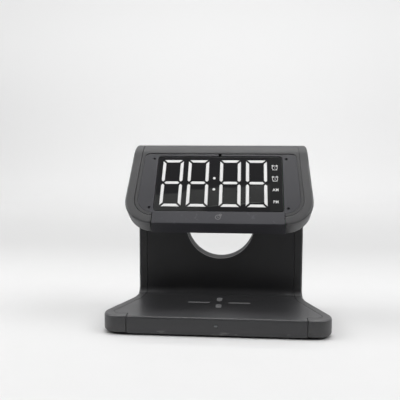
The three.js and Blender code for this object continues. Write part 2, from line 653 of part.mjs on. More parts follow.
// Rounds the two edges of the nose
function noseSection() {
  return [
    [...onFace(0, 0), NOSE_EDGE],
    [...onFace(0, -HEAD_THICKNESS), NOSE_EDGE],
    onFace(FAR, -HEAD_THICKNESS),
    onFace(FAR, 0),
  ];
}

// Segments of one digit whose lower left corner is at the origin
function segments() {
  const w = DIGIT_WIDTH;
  const h = DIGIT_HEIGHT;
  const t = DIGIT_STROKE;
  const bottom = [[0, 0], [w, 0], [w - t, t], [t, t]];
  const left = [[0, 0], [t, t], [t, h / 2 - t / 2], [t / 2, h / 2], [0, h / 2]];
  const mirrorX = (corners) => corners.map(([x, y]) => [w - x, y]).reverse();
  const mirrorY = (corners) => corners.map(([x, y]) => [x, h - y]).reverse();
  const middle = [
    [t / 2, h / 2],
    [t, h / 2 - t / 2],
    [w - t, h / 2 - t / 2],
    [w - t / 2, h / 2],
    [w - t, h / 2 + t / 2],
    [t, h / 2 + t / 2],
  ];
  const right = mirrorX(left);
  return [bottom, left, right, middle, mirrorY(bottom), mirrorY(left), mirrorY(right)];
}

// Corners of every lit shape on the display
function litShapes(grow) {
  const pairs = [FIRST_DIGIT, COLON_X + COLON_SPACE / 2];
  const digits = pairs.flatMap((x) => [x, x + DIGIT_WIDTH + DIGIT_SPACE]);
  const bars = digits.flatMap((x) =>
    segments().map((bar) => inset(bar.map(([px, py]) => [px + x, py + DIGIT_LOW]), SEGMENT_GAP / 2 - grow)),
  );
  const middle = DIGIT_LOW + DIGIT_HEIGHT / 2 - COLON_DROP;
  const dots = [-1, 1].map((side) =>
    circle(COLON_RADIUS + grow, COLON_X, middle + (side * COLON_PITCH) / 2),
  );
  return [...bars, ...dots];
}

// Black front of the display: a shallow box open behind, pierced by the segments
function displayMask() {
  const half = WINDOW_WIDTH / 2;
  const outer = box(-half, WINDOW_LOW, half, WINDOW_HIGH, WINDOW_CORNER);
  const block = extrude(outer, MASK_BACK, -WINDOW_SINK);
  const hollow = extrude(inset(outer, MASK_WALL), MASK_BACK - WALL, -WINDOW_SINK - MASK_THICKNESS);
  const cuts = litShapes(SEGMENT_CLEAR).map((shape) => extrude(shape, MASK_BACK, WALL));
  return without(block, hollow, ...cuts);
}

// White light guide behind the mask, with a raised bar in each segment
function segmentDiffuser() {
  const half = WINDOW_WIDTH / 2 - MASK_WALL - SEAM;
  const low = WINDOW_LOW + MASK_WALL + SEAM;
  const high = WINDOW_HIGH - MASK_WALL - SEAM;
  const sheet = extrude(box(-half, low, half, high), DIFFUSER_FRONT - DIFFUSER_THICKNESS, DIFFUSER_FRONT);
  const rooted = DIFFUSER_FRONT - DIFFUSER_THICKNESS / 2;
  const bars = litShapes(0).map((shape) => extrude(shape, rooted, -WINDOW_SINK));
  return union(sheet, ...bars);
}

// Board behind the display with a lamp for each lit shape, and the driver chip on its back
function displayBoard() {
  const half = WINDOW_WIDTH / 2 + BOARD_MARGIN;
  const plan = box(-half, WALL + 2 * SEAM, half, WINDOW_HIGH + BOARD_MARGIN);
  const sheet = extrude(plan, BOARD_BACK, BOARD_FRONT);
  const middle = DIGIT_LOW + DIGIT_HEIGHT / 2;
  const rooted = BOARD_BACK + BOARD_THICKNESS / 2;
  const chip = square(DRIVER_WIDTH, 0, middle, BOARD_BACK - DRIVER_HEIGHT, rooted);
  const lamps = litShapes(0).map((shape) => {
    const [x, s] = [0, 1].map((axis) => shape.reduce((sum, at) => sum + at[axis], 0) / shape.length);
    return square(LAMP_SIZE, x, s, rooted, BOARD_FRONT + LAMP_HEIGHT);
  });
  return union(sheet, chip, ...lamps);
}

function square(size, x, y, from, to, options) {
  const half = size / 2;
  return extrude(box(x - half, y - half, x + half, y + half), from, to, options);
}

function touchSpring() {
  const low = BOARD_FRONT + SEAM + TOUCH_WIRE;
  const high = -WALL - SEAM - TOUCH_WIRE;
  const curve = new THREE.Curve();
  curve.getPoint = (t, target = new THREE.Vector3()) => {
    const turn = 2 * Math.PI * TOUCH_TURNS * t;
    return target.set(TOUCH_RADIUS * Math.cos(turn), TOUCH_RADIUS * Math.sin(turn), low + (high - low) * t);
  };
  return tube(curve, TOUCH_WIRE, 5, 8 * TOUCH_TURNS);
}

// Flat winding that spirals out at a steady rate
function chargingCoil() {
  const half = COIL_STRAND / 2;
  const from = COIL_INNER + half;
  const to = COIL_OUTER - half;
  const steps = 18 * COIL_TURNS;
  const edge = (offset) =>
    Array.from({ length: steps + 1 }, (_, i) => {
      const turn = (2 * Math.PI * COIL_TURNS * i) / steps;
      const radius = from + ((to - from) * i) / steps + offset;
      return new THREE.Vector2(radius * Math.cos(turn), radius * Math.sin(turn));
    });
  const strip = new THREE.Shape([...edge(half), ...edge(-half).reverse()]);
  return solidOf(new THREE.ExtrudeGeometry(strip, { depth: COIL_THICKNESS, bevelEnabled: false }));
}

// Board under the coil that reaches back to the inlet, clear of the screws' bosses, with its chips underneath
function chargerBoard() {
  const half = CHARGER_WIDTH / 2;
  const plan = box(-half, CHARGER_FRONT, half, CHARGER_REAR, CHARGER_CORNER);
  const sheet = extrude(plan, CHARGER_LEVEL, CHARGER_TOP);
  const parts = CHIPS.map(([x, back, width, depth, height]) => {
    const y = COIL_DEPTH + back;
    const chip = box(x - width / 2, y - depth / 2, x + width / 2, y + depth / 2);
    return extrude(chip, CHARGER_LEVEL - height, CHARGER_TOP - BOARD_THICKNESS / 2);
  });
  const bosses = SCREWS.map(([, x, y]) => rod(SCREW_BOSS + SEAM, -FAR, FAR, { x, y }));
  return without(union(sheet, ...parts), ...bosses);
}

function usbSocket() {
  const mouth = USB_SINK - REAR;
  const back = mouth + USB_DEPTH;
  const shell = extrude(usbOutline(0), mouth, back, { frame: FRONT });
  const hollow = extrude(usbOutline(-USB_SHELL), mouth - WALL, back - USB_BACK, { frame: FRONT });
  const x = USB_TONGUE_WIDTH / 2;
  const y = USB_TONGUE_HEIGHT / 2;
  const blade = box(-x, USB_LEVEL - y, x, USB_LEVEL + y);
  const tongue = extrude(blade, mouth + USB_BACK, back - USB_BACK / 2, { frame: FRONT });
  return union(without(shell, hollow), tongue);
}

// Obround light guide in the front wall, with a flange behind the wall and a tail to the board's lamp
function lightPipe() {
  const face = extrude(lightOutline(0), -CHARGER_FRONT + SEAM, 0, { frame: FRONT });
  const seat = -WALL - SEAM;
  const flange = extrude(lightOutline(LIGHT_FLANGE), seat - LIGHT_FLANGE, seat, { frame: FRONT });
  return union(face, flange);
}

function cellHolder() {
  const cup = rod(HOLDER_RADIUS, 0, HOLDER_WALL + SEAM + CELL_THICKNESS);
  const bowl = rod(CELL_RADIUS + SEAM, HOLDER_WALL, FAR);
  const finger = extrude(box(-FINGER_SLOT / 2, 0, FINGER_SLOT / 2, FAR), HOLDER_WALL, FAR);
  return without(cup, bowl, finger);
}

function coinCell() {
  const can = rod(CELL_RADIUS, 0, CELL_THICKNESS - CELL_CAP);
  const cap = rod(CELL_RADIUS - CELL_LIP, 0, CELL_THICKNESS);
  return union(can, cap);
}

// Board in the column with one switch behind each button
function buttonBoard() {
  const left = BUTTONS[0] - SWITCH_SIZE;
  const right = BUZZER_X + BUZZER_RADIUS;
  const low = BUTTON_LEVEL - BUTTON_BOARD_HEIGHT / 2;
  const high = BUTTON_LEVEL + BUTTON_BOARD_HEIGHT / 2;
  const plan = box(left, low, right, high);
  const sheet = extrude(plan, -BUTTON_BOARD_REAR, -BUTTON_BOARD_FRONT, { frame: FRONT });
  const seat = -BUTTON_BOARD_FRONT - SEAM;
  const switches = BUTTONS.map((x) => {
    const can = square(SWITCH_SIZE, x, BUTTON_LEVEL, PLUNGER_HEIGHT - SWITCH_REAR, seat, { frame: FRONT });
    const plunger = rod(BUTTON_STEM, -SWITCH_REAR, seat, { x, y: BUTTON_LEVEL, frame: FRONT });
    return union(can, plunger);
  });
  return union(sheet, ...switches);
}

// Push button: a domed cap through the rear wall, a flange behind it and a stem over its switch
function button() {
  const tip = SWITCH_REAR + BUTTON_TRAVEL + SEAM / 2;
  const flange = BUTTON_RADIUS + BUTTON_FLANGE;
  const end = REAR + BUTTON_PROUD;
  const profile = [
    [0, tip],
    [BUTTON_STEM, tip],
    [BUTTON_STEM, FLANGE_FRONT],
    [flange, FLANGE_FRONT],
    [flange, FLANGE_REAR],
    [BUTTON_RADIUS, FLANGE_REAR],
    [BUTTON_RADIUS, end - BUTTON_DOME],
    [BUTTON_RADIUS - BUTTON_DOME, end],
    [0, end],
  ].map(([x, y]) => new THREE.Vector2(x, y));
  return solidOf(new THREE.LatheGeometry(profile, 16));
}

function buzzer() {
  const low = BUTTON_BOARD_REAR + SEAM;
  const top = Math.min(low + BUZZER_HEIGHT, REAR - WALL - SEAM);
  const can = rod(BUZZER_RADIUS, -top, -low, { frame: FRONT });
  const vent = rod(SOUND_HOLE, -top - WALL, 1 - top, { frame: FRONT });
  return without(can, vent);
}

// Flat cable from the charger board up the column and forward to the display board
function ribbonCable() {
  const level = CHARGER_TOP + SEAM;
  const thick = RIBBON_THICKNESS;
  const rear = RIBBON_DEPTH;
  const front = rear - thick;
  const top = BOARD_BACK - SEAM;
  const bend = RIBBON_BEND;
  const profile = [
    [front - 3 * bend, level],
    [rear, level, bend],
    [...faceAtDepth(rear, top), bend],
    onFace(WINDOW_HIGH - 2 * bend, top),
    onFace(WINDOW_HIGH - 2 * bend, top - thick),
    [...faceAtDepth(front, top - thick), bend - thick],
    [front, level + thick, bend - thick],
    [front - 3 * bend, level + thick],
  ];
  return extrude(profile, RIBBON_X - RIBBON_WIDTH / 2, RIBBON_X + RIBBON_WIDTH / 2, { frame: SIDE });
}

// Pieces of the casing
piece("inner_shell", innerShell(), "body");
piece("outer_shell", outerShell(), "body");
piece("base_cover", baseCover(), "body");
piece("left_side_trim", sideTrim(-1), "trim");
piece("right_side_trim", sideTrim(1), "trim");
piece("face_plate", facePlate(), "plate", head);

// Pieces of the display
piece("display_mask", displayMask(), "mask", head);
piece("segment_diffuser", segmentDiffuser(), "diffuser", head);
piece("display_board", displayBoard(), "board", head);
piece("touch_spring", touchSpring(), "nickel", head).position.y = (CHIN + WALL) / 2;
FACE_SCREWS.forEach(([place, x, s]) => {
  const name = place.replace("front", "lower").replace("rear", "upper");
  const shank = rod(FACE_SCREW_SHANK, -FACE_SCREW_LENGTH, FACE_SCREW_SEAT);
  const cap = rod(FACE_SCREW_HEAD, FACE_SCREW_SEAT, -FACE_SCREW_SINK);
  piece(`face_screw_${name}`, union(shank, cap), "steel", head).position.set(x, s, 0);
});

// Pieces of the charger and the clock's electrics
piece("charging_coil", chargingCoil(), "copper").position.set(0, COIL_DEPTH, COIL_LEVEL);
const ferrite = rod(COIL_OUTER + FERRITE_MARGIN, 0, FERRITE_THICKNESS);
piece("ferrite_sheet", ferrite, "ferrite").position.set(0, COIL_DEPTH, FERRITE_LEVEL);
piece("charger_board", chargerBoard(), "board");
piece("usb_socket", usbSocket(), "nickel");
piece("indicator_light_pipe", lightPipe(), "light");
piece("cell_holder", cellHolder(), "body").position.set(CELL_X, CELL_DEPTH, COVER_TOP + SEAM);
const cellLevel = COVER_TOP + 2 * SEAM + HOLDER_WALL;
piece("coin_cell", coinCell(), "nickel").position.set(CELL_X, CELL_DEPTH, cellLevel);
piece("button_board", buttonBoard(), "board");
piece("buzzer", buzzer(), "mask").position.set(BUZZER_X, 0, BUTTON_LEVEL);
piece("ribbon_cable", ribbonCable(), "ribbon");

// Buttons, in order from the clock's right as seen from behind
BUTTON_NAMES.forEach((name, i) => {
  piece(name, button(), "trim").position.set(BUTTONS[i], 0, BUTTON_LEVEL);
});

// Screws and feet
SCREWS.forEach(([place, x, y]) => {
  const cap = rod(SCREW_HEAD, FOOT_GAP + SEAM / 2, SCREW_SEAT);
  const shank = rod(SCREW_SHANK, FOOT_GAP + SEAM, DECK_UNDER - WALL / 2);
  piece(`base_screw_${place}`, union(cap, shank), "steel").position.set(x, y, 0);
});
FEET.forEach(([place, x, y]) => {
  const pad = rod(FOOT_RADIUS, 0, FOOT_GAP + FOOT_POCKET - SEAM);
  piece(`foot_${place}`, pad, "rubber").position.set(x, y, 0);
});

export default clock;
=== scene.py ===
"""Dressed model of a wireless charging alarm clock.

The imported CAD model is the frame. The casing, the display, the printed marks, the buttons and the
fastenings are modelled here in its place, and every CAD solid that stays gets a finish. Lengths are in
millimetres, measured back from the base's front face and up from the table, until a piece is placed.
"""

import json
import logging
import math
from collections.abc import Callable, Sequence
from dataclasses import dataclass
from enum import Enum

import bmesh
import bpy
from bmesh.types import BMEdge, BMesh, BMFace, BMVert
from mathutils import Matrix, Vector

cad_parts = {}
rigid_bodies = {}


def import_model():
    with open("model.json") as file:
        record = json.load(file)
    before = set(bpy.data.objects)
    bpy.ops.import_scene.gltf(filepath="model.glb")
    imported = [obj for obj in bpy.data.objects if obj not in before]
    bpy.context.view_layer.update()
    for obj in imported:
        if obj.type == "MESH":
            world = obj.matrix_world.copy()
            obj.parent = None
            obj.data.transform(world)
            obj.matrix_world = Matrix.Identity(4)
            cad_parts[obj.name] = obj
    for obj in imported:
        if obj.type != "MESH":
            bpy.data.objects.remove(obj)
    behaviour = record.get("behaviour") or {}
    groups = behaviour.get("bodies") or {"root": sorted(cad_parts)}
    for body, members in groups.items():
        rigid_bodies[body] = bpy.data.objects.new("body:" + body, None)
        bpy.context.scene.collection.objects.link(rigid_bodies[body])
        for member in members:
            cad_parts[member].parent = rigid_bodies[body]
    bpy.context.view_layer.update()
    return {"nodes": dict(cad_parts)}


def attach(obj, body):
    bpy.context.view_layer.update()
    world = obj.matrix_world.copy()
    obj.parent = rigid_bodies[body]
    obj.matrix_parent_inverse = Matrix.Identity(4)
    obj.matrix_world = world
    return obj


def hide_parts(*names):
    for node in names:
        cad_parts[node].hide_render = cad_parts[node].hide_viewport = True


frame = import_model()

TO_METRES = 0.001
NEAR = 1e-4  # points closer than this are taken as one, in millimetres
HAIR = 0.01  # keeps the ends of two cutters out of one plane
ROUND_END = 0.98  # radius of a rounded end, as a share of half its width
CAPITAL = 0.7  # height of a capital letter, as a share of the font's size
LETTER_SPACING = 1.12
SURFACE_INPUTS = {
    "specular": "Specular IOR Level",
    "metallic": "Metallic",
    "glow": "Emission Color",
    "glow_strength": "Emission Strength",
}
WORN = "edge_wear_and_highlight"  # attribute of the vertices along softened edges
ACROSS, UP = Vector((1, 0, 0)), Vector((0, 0, 1))
log = logging.getLogger("clock")


class Side(Enum):
    """Side of the clock, as seen from the front."""

    LEFT = -1
    RIGHT = 1


class Cut(Enum):
    """What a second solid does to the first."""

    ADD = "UNION"
    TAKE = "DIFFERENCE"


# Shader graph -------------------------------------------------------------------------------------


class Wire:
    """A value on its way through a material's nodes."""

    def __init__(self, graph: "Graph", socket: bpy.types.NodeSocket) -> None:
        """Keeps the graph and the output socket that the value comes from."""
        self.graph = graph
        self.socket = socket

    def _math(self, operation: str, first: "Wire | float", second: "Wire | float") -> "Wire":
        """Result of a Math node with these inputs."""
        return self.graph.node("ShaderNodeMath", {"operation": operation}, {0: first, 1: second})

    def __add__(self, other: "Wire | float") -> "Wire":
        """Sum with a number or another value."""
        return self._math("ADD", self, other)

    __radd__ = __add__

    def __mul__(self, other: "Wire | float") -> "Wire":
        """Product with a number or another value."""
        return self._math("MULTIPLY", self, other)

    __rmul__ = __mul__

    def __sub__(self, other: "Wire | float") -> "Wire":
        """Difference from this value."""
        return self._math("SUBTRACT", self, other)

    def __rsub__(self, other: "Wire | float") -> "Wire":
        """Difference of this value from a number."""
        return self._math("SUBTRACT", other, self)

    def between(self, low: float, high: float) -> "Wire":
        """Smooth step of the value, from 0 at low to 1 at high."""
        return self.graph.node(
            "ShaderNodeMapRange", {"interpolation_type": "SMOOTHSTEP"}, {0: self, 1: low, 2: high}
        )


Value = Wire | float | tuple[float, ...]
Colour = tuple[float, float, float]
Point = tuple[float, float, float]
Place = tuple[float, float]  # coordinates on a plane
Span = tuple[float, float]  # where something starts to change and where it has changed


class Graph:
    """Node tree of one material, or of the world."""

    def __init__(self, tree: bpy.types.NodeTree) -> None:
        """Starts from an empty tree."""
        self.tree = tree
        tree.nodes.clear()

    def node(
        self,
        kind: str,
        settings: dict[str, object] | None = None,
        sockets: dict[str | int, Value] | None = None,
        output: str | int = 0,
    ) -> Wire | None:
        """Adds a node.

        Args:
            kind: Type of the node.
            settings: Properties, set first.
            sockets: Values or links of the inputs, by name or number.
            output: Output that is returned.

        Returns:
            The chosen output, or None for a node that ends the tree.
        """
        made = self.tree.nodes.new(kind)
        for key, value in (settings or {}).items():
            setattr(made, key, value)
        for key, value in (sockets or {}).items():
            socket = made.inputs[key]
            if isinstance(value, Wire):
                self.tree.links.new(value.socket, socket)
            elif socket.type == "RGBA":
                socket.default_value = (*value[:3], 1)
            else:
                socket.default_value = value
        return Wire(self, made.outputs[output]) if made.outputs else None

    def place(self) -> Wire:
        """Position on the object, in metres."""
        return self.node("ShaderNodeTexCoord", output="Object")

    def axes(self, at: Wire, names: str) -> list[Wire]:
        """Coordinates of a place along the named axes, such as "XZ"."""
        return [self.node("ShaderNodeSeparateXYZ", None, {0: at}, name) for name in names]

    def noise(self, at: Wire, scale: float, detail: float = 2.0, stretch: Point = (1, 1, 1)) -> Wire:
        """Cloudy pattern from 0 to 1.

        Args:
            at: Where it is read.
            scale: Clouds per metre.
            detail: Number of finer layers.
            stretch: Scale along each axis.

        Returns:
            The pattern's value.
        """
        if stretch != (1, 1, 1):
            at = self.node("ShaderNodeMapping", None, {"Vector": at, "Scale": stretch})
        sockets = {"Vector": at, "Scale": scale, "Detail": detail}
        return self.node("ShaderNodeTexNoise", None, sockets, "Fac")

    def mix(self, first: Value, second: Value, share: Wire | float) -> Wire:
        """Blend of two colours, by the share of the second."""
        return self.node("ShaderNodeMix", {"data_type": "RGBA"}, {0: share, 6: first, 7: second}, 2)

    def bump(self, height: Wire, distance: float, strength: float) -> Wire:
        """Normal of a surface raised by a pattern from 0 to 1, with its height in metres."""
        sockets = {"Height": height, "Distance": distance, "Strength": strength}
        return self.node("ShaderNodeBump", None, sockets, "Normal")

    def surface(self, colour: Value, rough: Value, normal: Wire | None = None, **others: Value) -> None:
        """Ends the material in a Principled surface.

        Args:
            colour: Base colour.
            rough: Roughness.
            normal: Normal of a bumped surface.
            others: Other inputs, by their names in SURFACE_INPUTS.
        """
        sockets = {"Base Color": colour, "Roughness": rough}
        sockets |= {SURFACE_INPUTS[name]: value for name, value in others.items()}
        if normal is not None:
            sockets["Normal"] = normal
        shader = self.node("ShaderNodeBsdfPrincipled", None, sockets)
        self.node("ShaderNodeOutputMaterial", None, {"Surface": shader})


def shade(colour: Colour, factor: float) -> Colour:
    """Colour made lighter or darker by a factor."""
    return tuple(min(1.0, part * factor) for part in colour)


def grey(level: float) -> Colour:
    """Neutral colour of a level."""
    return level, level, level


# Finishes -----------------------------------------------------------------------------------------


@dataclass(frozen=True)
class Finish:
    """A surface finish that can be made into a material."""

    name: str
    colour: Colour
    roughness: float

    def paint(self, graph: Graph) -> None:
        """Draws the finish's nodes."""
        raise NotImplementedError

    def make(self) -> bpy.types.Material:
        """Makes the finish's material, or finds it where it is already made.

        Returns:
            The material, which all pieces of this finish share.
        """
        found = bpy.data.materials.get(self.name)
        if found is None:
            found = bpy.data.materials.new(self.name)
            found.use_nodes = True
            self.paint(Graph(found.node_tree))
            found.diffuse_color = (*self.colour, 1)
        return found


class MarkPlaces:
    """Where the marks on the casing are, in metres; a span is where a mark fades."""

    foot: Span = (0.0024, 0.0042)  # heights
    chin_low: Span = (0.0705, 0.0722)
    chin_high: Span = (0.0785, 0.0805)
    # nose spans: where the painted highlight on the nose's rounded edge lies
    nose_low: Span = (0.05, 0.06)
    nose_high: Span = (0.08, 0.092)
    nose_front: Span = (0.012, 0.004)  # depths
    crown: Span = (0.106, 0.115)  # heights
    # where the round opening's painted shade lies
    bore_height: float = 0.0646
    bore_radius: float = 0.0253
    bore_edge: Span = (0.0001, 0.0009)  # distances beyond the radius


@dataclass(frozen=True)
class MouldedPlastic(Finish):
    """Matte moulded plastic with an eroded grain, faint clouding, polished edges and a little dust."""

    grain: float = 2600.0  # pits per metre
    grain_height: float = 0.00003
    clouding: float = 0.04
    dust: float = 0.12
    dust_colour: Colour = (0.42, 0.42, 0.41)
    specular: float = 0.4
    scuffs: float = 0.0  # cover of the marks round the foot of the casing
    scuff_colour: Colour = (0.2, 0.2, 0.195)
    touched: float = 0.0  # cover of the smudges on the chin, where fingers tap the face
    crown: float = 0.0  # how much duller the plastic is over the apex
    nose: float = 0.0  # how much the nose's rounded edge is lightened: a painted highlight
    bore: float = 1.0  # how much darker the round opening's wall is drawn: painted shade
    bore_dulling: float = 0.14  # how much duller that wall is

    def paint(self, graph: Graph) -> None:
        """Draws grain, clouding, polished edges, dust and the marks of use, with painted highlight and
        shade.

        Args:
            graph: Nodes of the material.
        """
        at = graph.place()
        clouds = graph.noise(at, 28.0, 4.0).between(0.3, 0.7)
        pits = graph.noise(at, self.grain, 3.0)
        specks = graph.noise(at, 900.0, 1.0).between(0.74, 0.8)
        drift = graph.noise(at, 46.0, 2.0).between(0.45, 0.75)
        edge_wear_and_highlight = graph.node("ShaderNodeAttribute", {"attribute_name": WORN}, None, "Fac")
        patchy = edge_wear_and_highlight * graph.noise(at, 160.0, 3.0).between(0.3, 0.62)
        plain = graph.mix(
            shade(self.colour, 1 - self.clouding), shade(self.colour, 1 + self.clouding), clouds
        )
        pitted = graph.mix(plain, shade(self.colour, 0.8), (0.5 - pits).between(0.0, 0.3) * 0.5)
        edged = graph.mix(pitted, shade(self.colour, 1.45), patchy * 0.7)
        dusty = graph.mix(edged, self.dust_colour, specks * drift * self.dust)
        tone = self.mark(graph, at, edge_wear_and_highlight, dusty)
        rough = self.roughness + 0.1 * (clouds - 0.5) + 0.12 * (pits - 0.5) - 0.12 * patchy
        if self.crown:
            (height,) = graph.axes(at, "Z")
            rough = rough + self.crown * height.between(*MarkPlaces.crown)
        # painted shade: the round opening's wall is drawn darker, and also duller
        if self.bore < 1:
            x, z = graph.axes(at, "XZ")
            rise = z - MarkPlaces.bore_height
            limits = ((MarkPlaces.bore_radius + edge) ** 2 for edge in MarkPlaces.bore_edge)
            outside = (x * x + rise * rise).between(*limits)
            tone = graph.mix(shade(self.colour, self.bore), tone, outside)
            rough = rough + self.bore_dulling * (1 - outside)
        graph.surface(tone, rough, graph.bump(pits, self.grain_height, 0.35), specular=self.specular)

    def mark(self, graph: Graph, at: Wire, edge_wear_and_highlight: Wire, tone: Wire) -> Wire:
        """Lays marks over a colour: scuffs, smudges and the nose's painted highlight.

        Args:
            graph: Nodes of the material.
            at: Position on the object.
            edge_wear_and_highlight: 1 on softened edges; masks their wear and the nose's painted
                highlight.
            tone: The colour without marks.

        Returns:
            The colour with the marks that this plastic bears.
        """
        if self.scuffs:
            (height,) = graph.axes(at, "Z")
            low = 1 - height.between(*MarkPlaces.foot)
            rub_and_highlight = graph.noise(at, 210.0, 3.0, (0.45, 0.45, 1.6)).between(0.6, 0.68)
            tone = graph.mix(tone, self.scuff_colour, low * rub_and_highlight * self.scuffs)
        if self.touched:
            (height,) = graph.axes(at, "Z")
            chin = height.between(*MarkPlaces.chin_low) * (1 - height.between(*MarkPlaces.chin_high))
            prints = graph.noise(at, 260.0, 2.0).between(0.6, 0.72)
            cover = chin * (0.27 + 0.5 * prints) * self.touched
            tone = graph.mix(tone, shade(self.colour, 1.9), cover)
        # painted highlight: lightens the rounded edge of the nose
        if self.nose:
            depth, height = graph.axes(at, "YZ")
            front = depth.between(*MarkPlaces.nose_front) * height.between(*MarkPlaces.nose_low)
            rub_and_highlight = front * (1 - height.between(*MarkPlaces.nose_high))
            tone = graph.mix(tone, shade(self.colour, 2.4), edge_wear_and_highlight * rub_and_highlight * self.nose)
        return tone


@dataclass(frozen=True)
class DisplayGloss(Finish):
    """Glossy black window with a clear film on its lower half, drawn lighter: partly its own haziness,
    partly painted reflection.
    """

    # tone of the film: its own haziness with painted reflection
    film_haze_and_reflection: Colour = (0.035, 0.036, 0.035)
    film_top: float = 0.0942  # height of the film's upper edge in the window's middle
    film_foot: float = 0.0828
    film_edge: float = 0.0004  # how far its edges fade to either side
    film_step: Span = (-0.027, -0.02)  # its upper edge is lower at the left of this
    fold_start: Span = (-0.014, -0.006)  # its foot is folded at the right of this
    sign_column: Span = (0.0335, 0.0355)  # the column of signs at the right of this is drawn lighter all over: hazy, with painted reflection
    smear_top: Span = (0.0795, 0.0815)  # the window's left is smeared below this

    def paint(self, graph: Graph) -> None:
        """Draws the hazy film and smears with painted reflection, and a painted highlight along the
        film's folded foot.

        Args:
            graph: Nodes of the material.
        """
        at = graph.place()
        x, z = graph.axes(at, "XZ")
        sway = graph.noise(at, 34.0, 2.0, (1.0, 0.2, 0.2)) - 0.5
        smear = graph.noise(at, 60.0, 4.0, (0.6, 2.0, 2.0))
        right, column = x.between(*self.fold_start), x.between(*self.sign_column)
        top = z - 0.07 * x + 0.006 * sway + 0.0023 * (1 - x.between(*self.film_step))
        foot = z - 0.087 * x + 0.003 * sway
        fade, pale = self.film_edge, shade(self.film_haze_and_reflection, 2.2)
        bare = right * (1 - foot.between(self.film_foot - 0.0003, self.film_foot))
        under = 1 - top.between(self.film_top - fade, self.film_top + fade)
        film = under * (1 - bare) * (1 - column)
        risen = foot.between(self.film_foot - fade, self.film_foot)
        fold = risen - foot.between(self.film_foot, self.film_foot + fade)
        # smears under the digits drawn lighter: partly smear, partly painted reflection
        streak = (1 - z.between(*self.smear_top)) * (1 - right) * smear.between(0.45, 0.6)
        hazed_and_reflecting = graph.mix(self.colour, self.film_haze_and_reflection, film * (0.7 + 0.6 * (smear - 0.5)) + 0.4 * column)
        # painted highlight: a pale line along the film's folded foot
        edged = graph.mix(hazed_and_reflecting, pale, fold * right * (1 - column) * smear.between(0.35, 0.55))
        tone = graph.mix(edged, pale, streak * 0.9)
        rough = self.roughness + 0.12 * film + 0.05 * smear
        graph.surface(tone, rough, graph.bump(smear, 0.00008, 0.05), specular=0.5)


@dataclass(frozen=True)
class MilkyLight(Finish):
    """Milky light guide that glows faintly, clouded by its milk."""

    glow: float = 0.22

    def paint(self, graph: Graph) -> None:
        """Draws the milk's clouding and its glow.

        Args:
            graph: Nodes of the material.
        """
        at = graph.place()
        milk = graph.noise(at, 220.0, 3.0).between(0.3, 0.7)
        fine = graph.noise(at, 3000.0, 2.0)
        white = graph.mix(shade(self.colour, 0.94), self.colour, milk)
        rough = self.roughness + 0.1 * (fine - 0.5)
        graph.surface(white, rough, graph.bump(fine, 0.00001, 0.2), glow=white, glow_strength=self.glow)


@dataclass(frozen=True)
class PadInk(Finish):
    """Thin pad-printed ink whose edge and cover vary a little."""

    under: Colour = (0.05, 0.05, 0.052)
    cover: float = 0.85

    def paint(self, graph: Graph) -> None:
        """Draws the ink's uneven cover.

        Args:
            graph: Nodes of the material.
        """
        at = graph.place()
        thin = graph.noise(at, 900.0, 4.0).between(0.3, 0.8)
        ink = graph.mix(self.colour, self.under, (1 - self.cover) + thin * 0.25)
        graph.surface(ink, self.roughness + 0.15 * (thin - 0.5))


@dataclass(frozen=True)
class Metal(Finish):
    """Plated or blackened metal with fine drawing lines and dull patches."""

    lines: Point = (1.0, 1.0, 8.0)  # scale of the drawing lines along each axis
    tarnish: float = 0.3

    def paint(self, graph: Graph) -> None:
        """Draws the lines and the tarnish.

        Args:
            graph: Nodes of the material.
        """
        at = graph.place()
        drawn = graph.noise(at, 1500.0, 2.0, self.lines)
        dull = graph.noise(at, 350.0, 4.0).between(0.4, 0.7)
        tone = graph.mix(self.colour, shade(self.colour, 1 - self.tarnish), dull)
        lined = graph.mix(tone, shade(self.colour, 1.2), drawn * 0.2)
        rough = self.roughness + 0.2 * dull + 0.12 * (drawn - 0.5)
        graph.surface(lined, rough, graph.bump(drawn, 0.00001, 0.2), metallic=1.0)


@dataclass(frozen=True)
class Rubber(Finish):
    """Matte rubber with a fine sandy skin."""

    def paint(self, graph: Graph) -> None:
        """Draws the skin and its dusty bloom.

        Args:
            graph: Nodes of the material.
        """
        at = graph.place()
        sand = graph.noise(at, 1900.0, 3.0)
        bloom = graph.noise(at, 120.0, 3.0).between(0.4, 0.8)
        skin = graph.mix(self.colour, shade(self.colour, 2.2), bloom)
        graph.surface(skin, self.roughness + 0.1 * (sand - 0.5), graph.bump(sand, 0.00004, 0.4))


@dataclass(frozen=True)
class ClearGuide(Finish):
    """Smoky clear plastic of the indicator."""

    def paint(self, graph: Graph) -> None:
        """Draws the smoke in the plastic.

        Args:
            graph: Nodes of the material.
        """
        at = graph.place()
        smoke = graph.noise(at, 500.0, 3.0)
        smoky = graph.mix(self.colour, shade(self.colour, 0.7), smoke)
        graph.surface(smoky, self.roughness + 0.1 * (smoke - 0.5), specular=0.5)


@dataclass(frozen=True)
class CircuitBoard(Finish):
    """Green solder mask over copper tracks."""

    def paint(self, graph: Graph) -> None:
        """Draws the tracks that show through the mask.

        Args:
            graph: Nodes of the material.
        """
        at = graph.place()
        tracks = graph.node(
            "ShaderNodeTexVoronoi", {"distance": "MANHATTAN"}, {"Vector": at, "Scale": 420.0}, "Distance"
        ).between(0.42, 0.5)
        weave = graph.noise(at, 2400.0, 1.0)
        mask = graph.mix(self.colour, shade(self.colour, 1.9), tracks)
        woven = graph.mix(mask, shade(self.colour, 0.7), weave * 0.3)
        graph.surface(woven, self.roughness - 0.1 * tracks, graph.bump(tracks, 0.00003, 0.3))


